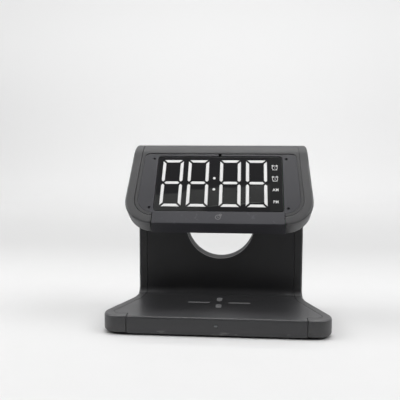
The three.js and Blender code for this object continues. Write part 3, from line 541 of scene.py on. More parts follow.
@dataclass(frozen=True)
class FlatCable(Finish):
    """Flat cable whose wires show as ribs along it."""

    pitch: float = 0.00127

    def paint(self, graph: Graph) -> None:
        """Draws the wires.

        Args:
            graph: Nodes of the material.
        """
        at = graph.place()
        ribs = graph.node(
            "ShaderNodeTexWave",
            {"wave_type": "BANDS", "bands_direction": "X"},
            {"Vector": at, "Scale": math.pi / (10 * self.pitch), "Distortion": 0.0},
            "Fac",
        )
        ribbed = graph.mix(shade(self.colour, 0.75), self.colour, ribs)
        graph.surface(ribbed, self.roughness + 0.1 * (ribs - 0.5), graph.bump(ribs, 0.0002, 0.5))


@dataclass(frozen=True)
class Winding(Finish):
    """Enamelled strands laid side by side round the coil's middle."""

    middle: Point = (0.0, -0.0031, 0.0)
    strand: float = 0.0004

    def paint(self, graph: Graph) -> None:
        """Draws the strands as rings round the coil's middle.

        Args:
            graph: Nodes of the material.
        """
        at = graph.place()
        centred = graph.node(
            "ShaderNodeMapping", None, {"Vector": at, "Location": tuple(-part for part in self.middle)}
        )
        strands = graph.node(
            "ShaderNodeTexWave",
            {"wave_type": "RINGS", "rings_direction": "Z"},
            {"Vector": centred, "Scale": math.pi / (10 * self.strand), "Distortion": 0.4},
            "Fac",
        )
        enamel = graph.noise(at, 240.0, 3.0)
        tone = graph.mix(shade(self.colour, 0.55), self.colour, strands)
        enamelled = graph.mix(tone, shade(self.colour, 0.8), enamel * 0.5)
        rough = self.roughness + 0.15 * (enamel - 0.5)
        graph.surface(enamelled, rough, graph.bump(strands, 0.0001, 0.5), metallic=0.85)


class Finishes:
    """Every finish on the clock."""

    shell = MouldedPlastic("inner_shell_plastic", (0.062, 0.062, 0.065), 0.4, specular=0.44, scuffs=0.6)
    # outer: bore darkens the round opening's wall, a painted shade
    outer = MouldedPlastic(
        "outer_shell_plastic", (0.061, 0.061, 0.063), 0.54, specular=0.33, scuffs=0.6, bore=0.88
    )
    # trim: nose paints a highlight along the nose's rounded edge
    trim = MouldedPlastic(
        "trim_plastic", (0.062, 0.062, 0.064), 0.44, specular=0.52, scuffs=0.6, crown=0.22, nose=1.0
    )
    plate = MouldedPlastic(
        "plate_plastic", (0.0445, 0.0443, 0.051), 0.46, grain=3400.0, grain_height=0.00002, touched=1.0
    )
    button = MouldedPlastic("button_plastic", (0.07, 0.07, 0.073), 0.5, grain=3200.0)
    cover = MouldedPlastic("cover_plastic", (0.03, 0.03, 0.032), 0.68, grain=1500.0, grain_height=0.00008)
    holder = MouldedPlastic("holder_plastic", (0.03, 0.03, 0.03), 0.5)
    buzzer = MouldedPlastic("buzzer_plastic", (0.012, 0.012, 0.012), 0.35)
    window = DisplayGloss("display_gloss", (0.0205, 0.0205, 0.022), 0.1)
    segment = MilkyLight("milky_segments", (0.8, 0.8, 0.795), 0.5)
    sign = MilkyLight("sign_light", (0.8, 0.8, 0.795), 0.5, glow=0.1)
    deck_mark = PadInk("deck_ink", (0.48, 0.48, 0.49), 0.6)
    touch_mark = PadInk("touch_ink", (0.19, 0.19, 0.195), 0.5, under=(0.1, 0.1, 0.11), cover=0.85)
    button_mark = PadInk("button_ink", (0.4, 0.4, 0.4), 0.55)
    indicator = ClearGuide("indicator_plastic", (0.2, 0.21, 0.22), 0.3)
    rubber = Rubber("foot_rubber", (0.01, 0.01, 0.01), 0.85)
    screw = Metal("blackened_screw", (0.035, 0.035, 0.038), 0.38)
    nickel = Metal("nickel_plate", (0.6, 0.59, 0.56), 0.25)
    ferrite = Metal("ferrite", (0.05, 0.05, 0.052), 0.7, lines=(1.0, 1.0, 1.0))
    copper = Winding("copper_winding", (0.55, 0.24, 0.09), 0.3)
    board = CircuitBoard("circuit_board", (0.012, 0.09, 0.04), 0.4)
    cable = FlatCable("flat_cable", (0.6, 0.6, 0.57), 0.5)


# Modelling ----------------------------------------------------------------------------------------


@dataclass(frozen=True)
class Corner:
    """Corner of a flat outline, rounded where it has a radius."""

    x: float
    y: float
    radius: float = 0.0

    @property
    def at(self) -> Vector:
        """The corner's point."""
        return Vector((self.x, self.y))


def arc_steps(angle: float, radius: float, sag: float = 0.012) -> int:
    """Number of facets that keep an arc within a sag of its circle."""
    return max(3, math.ceil(abs(angle) / (2 * math.acos(1 - min(sag / radius, 0.5)))))


def arc_point(middle: Place, radius: float, turn: float) -> Place:
    """Point on an arc, by the angle from the first axis."""
    return middle[0] + radius * math.cos(turn), middle[1] + radius * math.sin(turn)


def swing(
    bm: BMesh, geom: Sequence[BMVert | BMEdge], centre: Vector, axis: Vector, angle: float, steps: int
) -> list[BMVert]:
    """Spins open geometry about an axis.

    Args:
        bm: Mesh being made.
        geom: Vertices and edges to spin.
        centre: Point on the axis.
        axis: Direction of the axis.
        angle: Angle, anticlockwise about the axis.
        steps: Number of facets.

    Returns:
        The new vertices in order.
    """
    before = len(bm.verts)
    bmesh.ops.spin(bm, geom=list(geom), cent=centre, axis=axis, dvec=(0, 0, 0), angle=angle, steps=steps)
    bm.verts.ensure_lookup_table()
    return [bm.verts[i] for i in range(before, len(bm.verts))]


def swing_edge(bm: BMesh, edge: BMEdge, centre: Place, angle: float) -> BMEdge:
    """Spins an edge that lies across the clock into a bend.

    Args:
        bm: Mesh being made.
        edge: Edge to spin.
        centre: Depth and height of the bend's middle.
        angle: Angle of the bend.

    Returns:
        The bend's last edge.
    """
    middle = Vector((0, *centre))
    radius = (edge.verts[0].co.yz - middle.yz).length
    made = swing(bm, [*edge.verts, edge], middle, ACROSS, angle, arc_steps(angle, radius))
    return bm.edges.get(made[-2:])


def draw_edge(bm: BMesh, edge: BMEdge, ends: Sequence[Vector]) -> BMEdge:
    """Extrudes an edge to new ends.

    Args:
        bm: Mesh being made.
        edge: Edge to extrude.
        ends: Places of the new edge's ends, in the order of x.

    Returns:
        The new edge.
    """
    made = bmesh.ops.extrude_edge_only(bm, edges=[edge])["geom"]
    verts = sorted((g for g in made if isinstance(g, BMVert)), key=lambda v: v.co.x)
    for vert, end in zip(verts, ends):
        vert.co = end
    return bm.edges.get(verts)


def neighbours(corners: Sequence[Corner]) -> list[tuple[Corner, Corner, Corner]]:
    """Each corner of a closed outline, between the one before it and the one after it."""
    return list(zip([corners[-1], *corners], corners, [*corners[1:], corners[0]]))


def mirrored(right: Sequence[Corner]) -> list[Corner]:
    """Closed outline made of the corners of its right half."""
    return [*right, *(Corner(-c.x, c.y, c.radius) for c in reversed(right))]


def inset_corners(corners: Sequence[Corner], distance: float) -> list[Corner]:
    """Outline with every edge moved inwards.

    Args:
        corners: Corners, anticlockwise.
        distance: How far the edges move.

    Returns:
        The moved corners; outward bends tighten and inward bends widen.
    """
    moved = []
    for before, corner, after in neighbours(corners):
        along = (corner.at - before.at).normalized()
        onward = (after.at - corner.at).normalized()
        normal = Vector((-along.y - onward.y, along.x + onward.x)) * (distance / (1 + along.dot(onward)))
        bent = corner.radius - distance if along.cross(onward) > 0 else corner.radius + distance
        radius = max(bent, 0.0) if corner.radius else 0.0
        moved.append(Corner(*(corner.at + normal), radius))
    return moved


def corner_arc(
    bm: BMesh, before: Corner, corner: Corner, after: Corner, steps: int | None = None
) -> list[BMVert]:
    """Spins the arc of a rounded corner in the XY plane.

    Args:
        bm: Mesh being made.
        before: Corner that the outline comes from.
        corner: Corner that is rounded.
        after: Corner that the outline goes on to.
        steps: Number of facets, or None for as many as the radius needs.

    Returns:
        The arc's vertices in order.
    """
    back = (before.at - corner.at).normalized()
    ahead = (after.at - corner.at).normalized()
    half = back.angle(ahead) / 2
    start = corner.at + back * (corner.radius / math.tan(half))
    centre = corner.at + (back + ahead).normalized() * (corner.radius / math.sin(half))
    turn = math.copysign(math.pi - 2 * half, ahead.cross(back))
    first = bm.verts.new((*start, 0))
    steps = steps or arc_steps(turn, corner.radius)
    return [first, *swing(bm, [first], centre.to_3d(), UP, turn, steps)]


def trace(bm: BMesh, corners: Sequence[Corner]) -> list[BMVert]:
    """Draws a closed outline in the XY plane, with a spun arc at each rounded corner.

    Args:
        bm: Mesh being made.
        corners: Corners, anticlockwise.

    Returns:
        The outline's vertices in order.
    """
    verts: list[BMVert] = []
    for before, corner, after in neighbours(corners):
        if corner.radius:
            verts += corner_arc(bm, before, corner, after)
        else:
            verts.append(bm.verts.new((corner.x, corner.y, 0)))
    for first, second in zip(verts, [*verts[1:], verts[0]]):
        if bm.edges.get((first, second)) is None:
            bm.edges.new((first, second))
    return verts


def box_corners(x0: float, y0: float, x1: float, y1: float, radius: float = 0.0) -> list[Corner]:
    """Corners of a rectangle."""
    return [Corner(x, y, radius) for x, y in ((x0, y0), (x1, y0), (x1, y1), (x0, y1))]


def move(bm: BMesh, matrix: Matrix) -> None:
    """Moves and turns a whole mesh."""
    bmesh.ops.transform(bm, matrix=matrix, verts=bm.verts)


def shift(bm: BMesh, way: Point) -> None:
    """Moves a whole mesh without turning it."""
    bmesh.ops.translate(bm, vec=way, verts=bm.verts)


def thicken(bm: BMesh, faces: Sequence[BMFace], height: float) -> list[BMVert]:
    """Extrudes flat faces into closed solids along Z.

    Args:
        bm: Mesh being made.
        faces: Faces in the XY plane.
        height: Height of the solids.

    Returns:
        The vertices at the far end.
    """
    made = bmesh.ops.extrude_face_region(bm, geom=list(faces))["geom"]
    verts = [g for g in made if isinstance(g, BMVert)]
    bmesh.ops.translate(bm, vec=(0, 0, height), verts=verts)
    bmesh.ops.recalc_face_normals(bm, faces=bm.faces[:])
    return verts


def prism(corners: Sequence[Corner], low: float, high: float, matrix: Matrix | None = None) -> BMesh:
    """Solid with a drawn outline.

    Args:
        corners: Corners of the outline, anticlockwise.
        low: Level of its lower end.
        high: Level of its upper end.
        matrix: Where the drawing lies.

    Returns:
        The solid's mesh.
    """
    bm = bmesh.new()
    face = bm.faces.new(trace(bm, corners))
    shift(bm, (0, 0, low))
    thicken(bm, [face], high - low)
    move(bm, matrix or Matrix())
    return bm


def add_rod(bm: BMesh, radius: float, ends: Sequence[Vector], segments: int = 48) -> None:
    """Adds a capped rod to a mesh.

    Args:
        bm: Mesh being made.
        radius: Radius of the rod.
        ends: Middles of its ends.
        segments: Number of sides.
    """
    along = ends[1] - ends[0]
    turn = along.to_track_quat("Z", "Y").to_matrix().to_4x4()
    bmesh.ops.create_cone(
        bm,
        cap_ends=True,
        segments=segments,
        radius1=radius,
        radius2=radius,
        depth=along.length,
        matrix=Matrix.Translation((ends[0] + ends[1]) / 2) @ turn,
    )


def rod(radius: float, ends: Sequence[Vector], segments: int = 48) -> BMesh:
    """Makes one capped rod.

    Args:
        radius: Radius of the rod.
        ends: Middles of its ends.
        segments: Number of sides.

    Returns:
        The rod's mesh.
    """
    bm = bmesh.new()
    add_rod(bm, radius, ends, segments)
    return bm


def upright(low: float, high: float) -> tuple[Vector, Vector]:
    """Ends of a rod that stands on the Z axis."""
    return Vector((0, 0, low)), Vector((0, 0, high))


def cross_recess(
    reach: float, half: float, mouth: float, floor: float, corner: float = 0.0
) -> list[tuple[Cut, BMesh]]:
    """Makes the cutters of a screw's cross recess, one of them a hair deeper than the other.

    Args:
        reach: Half the length of an arm.
        half: Half its width.
        mouth: Level outside the head at which the cutters start.
        floor: Level of the recess's floor.
        corner: Radius of the arms' corners.

    Returns:
        The cuts.
    """
    deeper = floor + math.copysign(HAIR, floor - mouth)
    arms = ((reach, half, floor), (half, reach, deeper))
    return [
        (Cut.TAKE, prism(box_corners(-x, -y, x, y, corner), min(mouth, end), max(mouth, end)))
        for x, y, end in arms
    ]


def join(*parts: BMesh) -> BMesh:
    """Makes one mesh of several.

    Args:
        parts: The meshes; all but the first are freed.

    Returns:
        The first mesh with the others in it.
    """
    whole = parts[0]
    for part in parts[1:]:
        mesh = bpy.data.meshes.new("joined")
        part.to_mesh(mesh)
        part.free()
        whole.from_mesh(mesh)
        bpy.data.meshes.remove(mesh)
    return whole


def evaluated_mesh(holder: bpy.types.Object) -> BMesh:
    """Takes the mesh of an object after its modifiers.

    Args:
        holder: The object.

    Returns:
        A copy of its mesh, with doubled points merged.
    """
    evaluated = holder.evaluated_get(bpy.context.evaluated_depsgraph_get())
    bm = bmesh.new()
    bm.from_mesh(evaluated.to_mesh())
    evaluated.to_mesh_clear()
    bmesh.ops.remove_doubles(bm, verts=bm.verts, dist=NEAR)
    return bm


def face_outwards(bm: BMesh, outer: Callable[[Vector], float]) -> None:
    """Turns an open sheet's faces to one side.

    Args:
        bm: The sheet.
        outer: Positive for a normal on the right side, summed over the sheet.
    """
    bmesh.ops.recalc_face_normals(bm, faces=bm.faces[:])
    if sum(outer(face.normal) * face.calc_area() for face in bm.faces) < 0:
        bmesh.ops.reverse_faces(bm, faces=bm.faces[:])


def carve(bm: BMesh, cuts: Sequence[tuple[Cut, BMesh]], wall: float = 0.0) -> BMesh:
    """Gives a sheet its wall, then adds and takes away other solids.

    Args:
        bm: Sheet or solid, which is freed.
        cuts: What each other solid does, and the solid, which is freed.
        wall: Thickness of a sheet's wall, behind its faces.

    Returns:
        The carved mesh.
    """
    objects = bpy.context.scene.collection.objects
    made: list[bpy.types.Object] = []
    for part in [bm, *(cutter for _, cutter in cuts)]:
        mesh = bpy.data.meshes.new("carving")
        part.to_mesh(mesh)
        part.free()
        made.append(bpy.data.objects.new("carving", mesh))
        objects.link(made[-1])
    if wall:
        solid = made[0].modifiers.new("wall", "SOLIDIFY")
        solid.thickness, solid.offset, solid.use_even_offset = wall, -1, True
    for (cut, _), cutter in zip(cuts, made[1:]):
        boolean = made[0].modifiers.new("cut", "BOOLEAN")
        boolean.operation, boolean.object, boolean.solver = cut.value, cutter, "EXACT"
    carved = evaluated_mesh(made[0])
    for part in made:
        mesh = part.data
        bpy.data.objects.remove(part)
        bpy.data.meshes.remove(mesh)
    return carved


def soften(bm: BMesh, width: float, segments: int = 2, angle: float = 0.6) -> None:
    """Rounds every sharp edge and marks it as worn.

    Args:
        bm: Mesh being made.
        width: Width of the rounding.
        segments: Number of its facets.
        angle: Edges that turn by more are sharp.
    """
    layer = bm.verts.layers.float.get(WORN) or bm.verts.layers.float.new(WORN)
    sharp = [e for e in bm.edges if len(e.link_faces) == 2 and e.calc_face_angle(0.0) > angle]
    round_edges(bm, sharp, width, segments, layer)


def round_edges(
    bm: BMesh, edges: Sequence[BMEdge], width: float, segments: int, layer: object | None = None
) -> None:
    """Rounds edges.

    Args:
        bm: Mesh being made.
        edges: Edges to round.
        width: Width of the rounding.
        segments: Number of its facets.
        layer: Layer that marks the new vertices, if any.
    """
    made = bmesh.ops.bevel(
        bm,
        geom=list(edges),
        offset=width,
        offset_type="OFFSET",
        segments=segments,
        profile=0.5,
        affect="EDGES",
        clamp_overlap=False,
        material=-1,
    )
    if layer is not None:
        rounded = set(made["faces"])
        for vert in made["verts"]:
            vert[layer] = float(rounded.issuperset(vert.link_faces))


def lettering(words: str, height: float, weight: float, thickness: float, matrix: Matrix) -> BMesh:
    """Words as a solid.

    Args:
        words: What is written.
        height: Height of a capital letter.
        weight: How much bolder the strokes are.
        thickness: Thickness of the solid.
        matrix: Where the middle of the words lies.

    Returns:
        The words' mesh.
    """
    curve = bpy.data.curves.new("words", "FONT")
    curve.body, curve.size, curve.offset = words, height / CAPITAL, weight
    curve.align_x, curve.align_y, curve.extrude = "CENTER", "CENTER", thickness / 2
    curve.resolution_u, curve.space_character = 6, LETTER_SPACING
    holder = bpy.data.objects.new("words", curve)
    bpy.context.scene.collection.objects.link(holder)
    bm = evaluated_mesh(holder)
    bpy.data.objects.remove(holder)
    bpy.data.curves.remove(curve)
    move(bm, matrix)
    return bm


# The clock's form ---------------------------------------------------------------------------------


@dataclass(frozen=True)
class Form:
    """Sizes of the clock's outside that its pieces share, in millimetres."""

    base_width: float = 149.9
    base_corner: float = 11.0
    foot_gap: float = 1.2
    deck: float = 12.6
    waist_depth: float = 47.5
    waist_blend: float = 30.0
    front_seam: float = 58.4
    height: float = 123.05
    column_front: float = 60.7
    column_depth: float = 14.7
    column_half: float = 61.0
    column_fillet: float = 5.0
    heel_round: float = 3.0
    side_splay: float = 4.5
    port_radius: float = 25.3
    port_height: float = 64.6
    nose_seam: float = 44.2
    seam_lean: float = 1.4  # how much wider apart the nose's seams are at the underside
    face_tilt: float = 52.2
    head_thickness: float = 12.9
    head_corner: float = 20.0
    apex_radius: float = 14.9
    under_corner: float = 5.0
    face_length: float = 57.6
    trim_width: float = 6.2
    seam: float = 0.3
    side_seam: float = 0.26
    front_gap: float = 0.4
    wall: float = 2.0
    edge: float = 1.6
    seam_edge: float = 0.12  # rounding along the seams
    window_half: float = 43.45
    window_low: float = 9.8
    window_high: float = 55.0
    window_corner: float = 2.0
    button_places: tuple[float, ...] = (-28.0, -14.0, 0.0, 14.0, 28.0)
    button_level: float = 99.5
    button_proud: float = 0.8

    @property
    def rear(self) -> float:
        """Depth of the rear face."""
        return self.column_front + self.column_depth

    @property
    def bend(self) -> float:
        """Angle of the bend from the rear over the apex to the face."""
        return math.pi / 2 + math.radians(self.face_tilt)

    @property
    def apex(self) -> Place:
        """Depth and height of the apex bend's middle."""
        return self.rear - self.apex_radius, self.height - self.apex_radius

    @property
    def face(self) -> Matrix:
        """Frame of the face: x across, s up the slope from the nose and n out of it."""
        tilt = math.radians(self.face_tilt)
        reach = self.apex_radius * (1 + math.sin(tilt)) + self.face_length * math.cos(tilt)
        drop = self.apex_radius * (1 - math.cos(tilt)) + self.face_length * math.sin(tilt)
        place = Matrix.Translation((0, self.rear - reach, self.height - drop))
        return place @ Matrix.Rotation(tilt, 4, "X")

    @property
    def rear_view(self) -> Matrix:
        """Frame of the column: x across, height up and n towards the front."""
        return Matrix.Rotation(math.pi / 2, 4, "X")

    def on_face(self, x: float, s: float, n: float) -> Vector:
        """Point by its place on the face."""
        return self.face @ Vector((x, s, n))

    @property
    def under_middle(self) -> Place:
        """Depth and height of the middle of the bend under the head."""
        low = self.on_face(0, 0, -self.head_thickness - self.under_corner)
        depth = self.column_front - self.under_corner
        return depth, low.z + (depth - low.y) * math.tan(math.radians(self.face_tilt))

    def half_width(self, depth: float) -> float:
        """Half the width of the column and head at a depth."""
        return self.column_half + math.tan(math.radians(self.side_splay)) * (self.column_front - depth)

    def splay(self, depth: float) -> float:
        """How much wider the column and head are at a depth than at the column's front."""
        return self.half_width(depth) / self.column_half

    def between_seams(self, depth: float, margin: float) -> float:
        """Half the width at a depth, a margin in from the sides."""
        return (self.column_half - margin) * self.splay(depth)

    def across(self, depth: float, height: float, margin: float) -> tuple[Vector, Vector]:
        """Two points across the clock, a margin in from the sides."""
        half = self.between_seams(depth, margin)
        return Vector((-half, depth, height)), Vector((half, depth, height))

    def splay_points(self, verts: Sequence[BMVert]) -> None:
        """Moves drawn vertices out with the splay of the sides."""
        for vert in verts:
            vert.co.x *= self.splay(vert.co.y)

    def base_plan(self) -> list[Corner]:
        """Draws the base, seen from above.

        Returns:
            The corners of its outline, anticlockwise from the front right one.
        """
        centre = self.base_width / 2 - self.base_corner
        across = self.half_width(self.waist_depth) - centre
        along = self.waist_depth - self.base_corner
        flare = math.asin(self.base_corner / math.hypot(across, along)) - math.atan2(across, along)
        front = centre + self.base_corner * (1 + math.sin(flare)) / math.cos(flare)
        end = self.column_front - self.column_fillet
        right = [
            Corner(front, 0, self.base_corner),
            Corner(self.half_width(self.waist_depth), self.waist_depth, self.waist_blend),
            Corner(self.half_width(end), end),
        ]
        return mirrored(right)

    def nose_turn(self, margin: float, n: float, reach: float) -> float:
        """Angle round the nose's corner at which a line inside its outline comes in to a reach.

        Args:
            margin: How far the line is inside the head's outline.
            n: Level of the line, out of the face.
            reach: Half the width that it comes in to.

        Returns:
            The angle, from the side towards the nose.
        """
        radius = self.head_corner - margin
        low, high = 0.0, math.pi / 2
        for _ in range(40):
            middle = (low + high) / 2
            wide = self.nose_point(radius, middle, n).x > reach
            low, high = (middle, high) if wide else (low, middle)
        return low

    def nose_point(self, radius: float, angle: float, n: float) -> Vector:
        """Point on the rounding of the nose's right corner.

        Args:
            radius: Radius of the rounding.
            angle: Angle from the side towards the nose.
            n: Level, out of the face.

        Returns:
            The point on the clock.
        """
        x = self.column_half - self.head_corner + radius * math.cos(angle)
        at = self.on_face(x, self.head_corner - radius * math.sin(angle), n)
        at.x *= self.splay(at.y)
        return at


FORM = Form()
Row = tuple[str, float, float]  # name of a pair of pieces, half the distance between them and their place


def pairs(rows: Sequence[Row]) -> list[Row]:
    """Name and place of every piece in rows of two, from left to right."""
    return [(f"{row}_{side.name.lower()}", side.value * x, y) for row, x, y in rows for side in Side]


@dataclass
class SubAssembly:
    """A group of pieces that share the clock's form."""

    form: Form = FORM
    crease: float = 0.75  # edges that turn by more are shaded sharp

    def add(
        self,
        bm: BMesh,
        name: str,
        finish: Finish,
        slot: str,
        replaces: Sequence[str] = (),
        body: str = "clock",
    ) -> None:
        """Places a finished mesh on the clock.

        Args:
            bm: The piece in millimetres, which is freed.
            name: Name of the piece.
            finish: Its finish.
            slot: The record's material slot; not used.
            replaces: CAD nodes that it stands for.
            body: Body that it moves with.
        """
        middle = (self.form.rear + self.form.button_proud) / 2
        matrix = Matrix.Scale(TO_METRES, 4) @ Matrix.Translation((0, -middle, 0))
        move(bm, matrix)
        mesh = bpy.data.meshes.new(name)
        bm.to_mesh(mesh)
        bm.free()
        mesh.shade_smooth()
        mesh.set_sharp_from_angle(angle=self.crease)
        mesh.materials.append(finish.make())
        piece = bpy.data.objects.new(name, mesh)
        bpy.context.scene.collection.objects.link(piece)
        piece.modifiers.new("even_shading", "WEIGHTED_NORMAL").keep_sharp = True
        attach(piece, body)
        if replaces:
            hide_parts(*replaces)
        log.info("%s: %d faces, rides on %s", name, len(mesh.polygons), body)

    def build(self) -> None:
        """Makes the group's pieces."""
        raise NotImplementedError


# Casing -------------------------------------------------------------------------------------------


@dataclass
class SideTrims(SubAssembly):
    """Bands along the sides of the base, column and head."""

    round_steps: int = 5
    corner_steps: int = 18
    waist_steps: int = 6
    heel_steps: int = 8
    heel_lead: int = 2  # sections before and after the heel's rounding
    bend_steps: int = 18

    @property
    def width(self) -> float:
        """Width of a band up to its seam."""
        return self.form.trim_width - self.form.side_seam / 2

    def base_rings(self) -> list[list[Vector]]:
        """Draws the band along the base.

        Returns:
            Its sections: lower outer, upper outer, upper seam and lower seam corner.
        """
        f = self.form
        seam = f.front_seam + f.front_gap / 2
        outlines = []
        for margin in (0.0, self.width):
            bm = bmesh.new()
            plan = inset_corners(f.base_plan(), margin)
            corner, waist, end = plan[:3]
            arcs = [
                *corner_arc(bm, plan[-1], corner, waist, self.corner_steps),
                *corner_arc(bm, corner, waist, end, self.waist_steps),
            ]
            outlines.append([Vector((seam, corner.y)), *(vert.co.xy for vert in arcs)])
            bm.free()
        levels = (f.foot_gap, f.deck, f.deck, f.foot_gap)
        return [
            [Vector((*point, z)) for point, z in zip((outer, outer, inner, inner), levels)]
            for outer, inner in zip(*outlines)
        ]

    def column_ring(self, outer: Place, inner: Place) -> list[Vector]:
        """Draws one section of the column.

        Args:
            outer: Depth and height of its outer edge.
            inner: Depth and height of its inner edge.

        Returns:
            The section's corners.
        """
        f = self.form
        return [
            Vector((f.half_width(outer[0]), *outer)),
            Vector((f.half_width(inner[0]), *inner)),
            Vector((f.between_seams(inner[0], self.width), *inner)),
            Vector((f.between_seams(outer[0], self.width), *outer)),
        ]

    def column_rings(self) -> list[list[Vector]]:
        """Draws the band from the heel up the column and over the apex.

        Returns:
            Its sections.
        """
        f = self.form
        fillet = (f.column_front - f.column_fillet, f.deck + f.column_fillet)
        heel = (f.rear - f.heel_round, f.foot_gap + f.heel_round)
        lead, steps = self.heel_lead, self.heel_steps
        rings = []
        for step in range(steps + 2 * lead + 1):
            turn = math.pi / 2 * step / (steps + 2 * lead)
            inner = arc_point(fillet, f.column_fillet, turn - math.pi / 2)
            roll = math.pi / 2 * min(max((step - lead) / steps, 0), 1)
            outer = arc_point(heel, f.heel_round, roll - math.pi / 2)
            if step < lead:
                share = step / lead
                outer = (fillet[0] + (heel[0] - fillet[0]) * share, f.foot_gap)
            if step > steps + lead:
                share = (step - steps - lead) / lead
                outer = (f.rear, heel[1] + (fillet[1] - heel[1]) * share)
            rings.append(self.column_ring(outer, inner))
        for step in range(self.bend_steps + 1):
            turn = f.bend * step / self.bend_steps
            outer = arc_point(f.apex, f.apex_radius, turn)
            inner = arc_point(f.under_middle, f.under_corner, turn)
            rings.append(self.column_ring(outer, inner))
        return rings

    def head_rings(self) -> list[list[Vector]]:
        """Draws the band along the head and round the nose's corner to the seam.

        Returns:
            Its sections.
        """
        f = self.form
        reach = f.nose_seam + f.seam / 2
        levels = (0.0, -f.head_thickness, -f.head_thickness, 0.0)
        reaches = (reach, reach + f.seam_lean, reach + f.seam_lean, reach)
        margins = (0.0, 0.0, self.width, self.width)
        ends = [f.nose_turn(*line) for line in zip(margins, levels, reaches)]
        return [
            [
                f.nose_point(f.head_corner - margin, end * step / self.corner_steps, n)
                for margin, n, end in zip(margins, levels, ends)
            ]
            for step in range(self.corner_steps + 1)
        ]

    def band(self) -> BMesh:
        """Draws the right band out from section to section.

        Returns:
            The band's solid.
        """
        rings = [*self.base_rings(), *self.column_rings(), *self.head_rings()]
        bm = bmesh.new()
        layer = bm.verts.layers.float.new(WORN)
        section = [bm.verts.new(point) for point in rings[0]]
        end = bm.faces.new(section)
        chains: list[list[BMVert]] = [[vert] for vert in section]
        for step, ring in enumerate(rings[1:]):
            made = bmesh.ops.extrude_face_region(bm, geom=[end])["geom"]
            if step:
                bm.faces.remove(end)
            end = next(g for g in made if isinstance(g, BMFace))
            fresh = {tuple(vert.co): vert for vert in end.verts}
            for chain in chains:
                chain.append(fresh[tuple(chain[-1].co)])
            for chain, point in zip(chains, ring):
                chain[-1].co = point
        bmesh.ops.recalc_face_normals(bm, faces=bm.faces[:])
        outer = [bm.edges.get(pair) for chain in chains[:2] for pair in zip(chain, chain[1:])]
        round_edges(bm, outer, self.form.edge, self.round_steps, layer)
        soften(bm, self.form.seam_edge)
        return bm

    def build(self) -> None:
        """Makes both bands."""
        for side in Side:
            bm = self.band()
            if side is Side.LEFT:
                bmesh.ops.scale(bm, vec=(-1, 1, 1), verts=bm.verts)
                bmesh.ops.reverse_faces(bm, faces=bm.faces[:])
            name = f"{side.name.lower()}_side_trim"
            self.add(bm, f"{name}_band", Finishes.trim, "trim", [name])


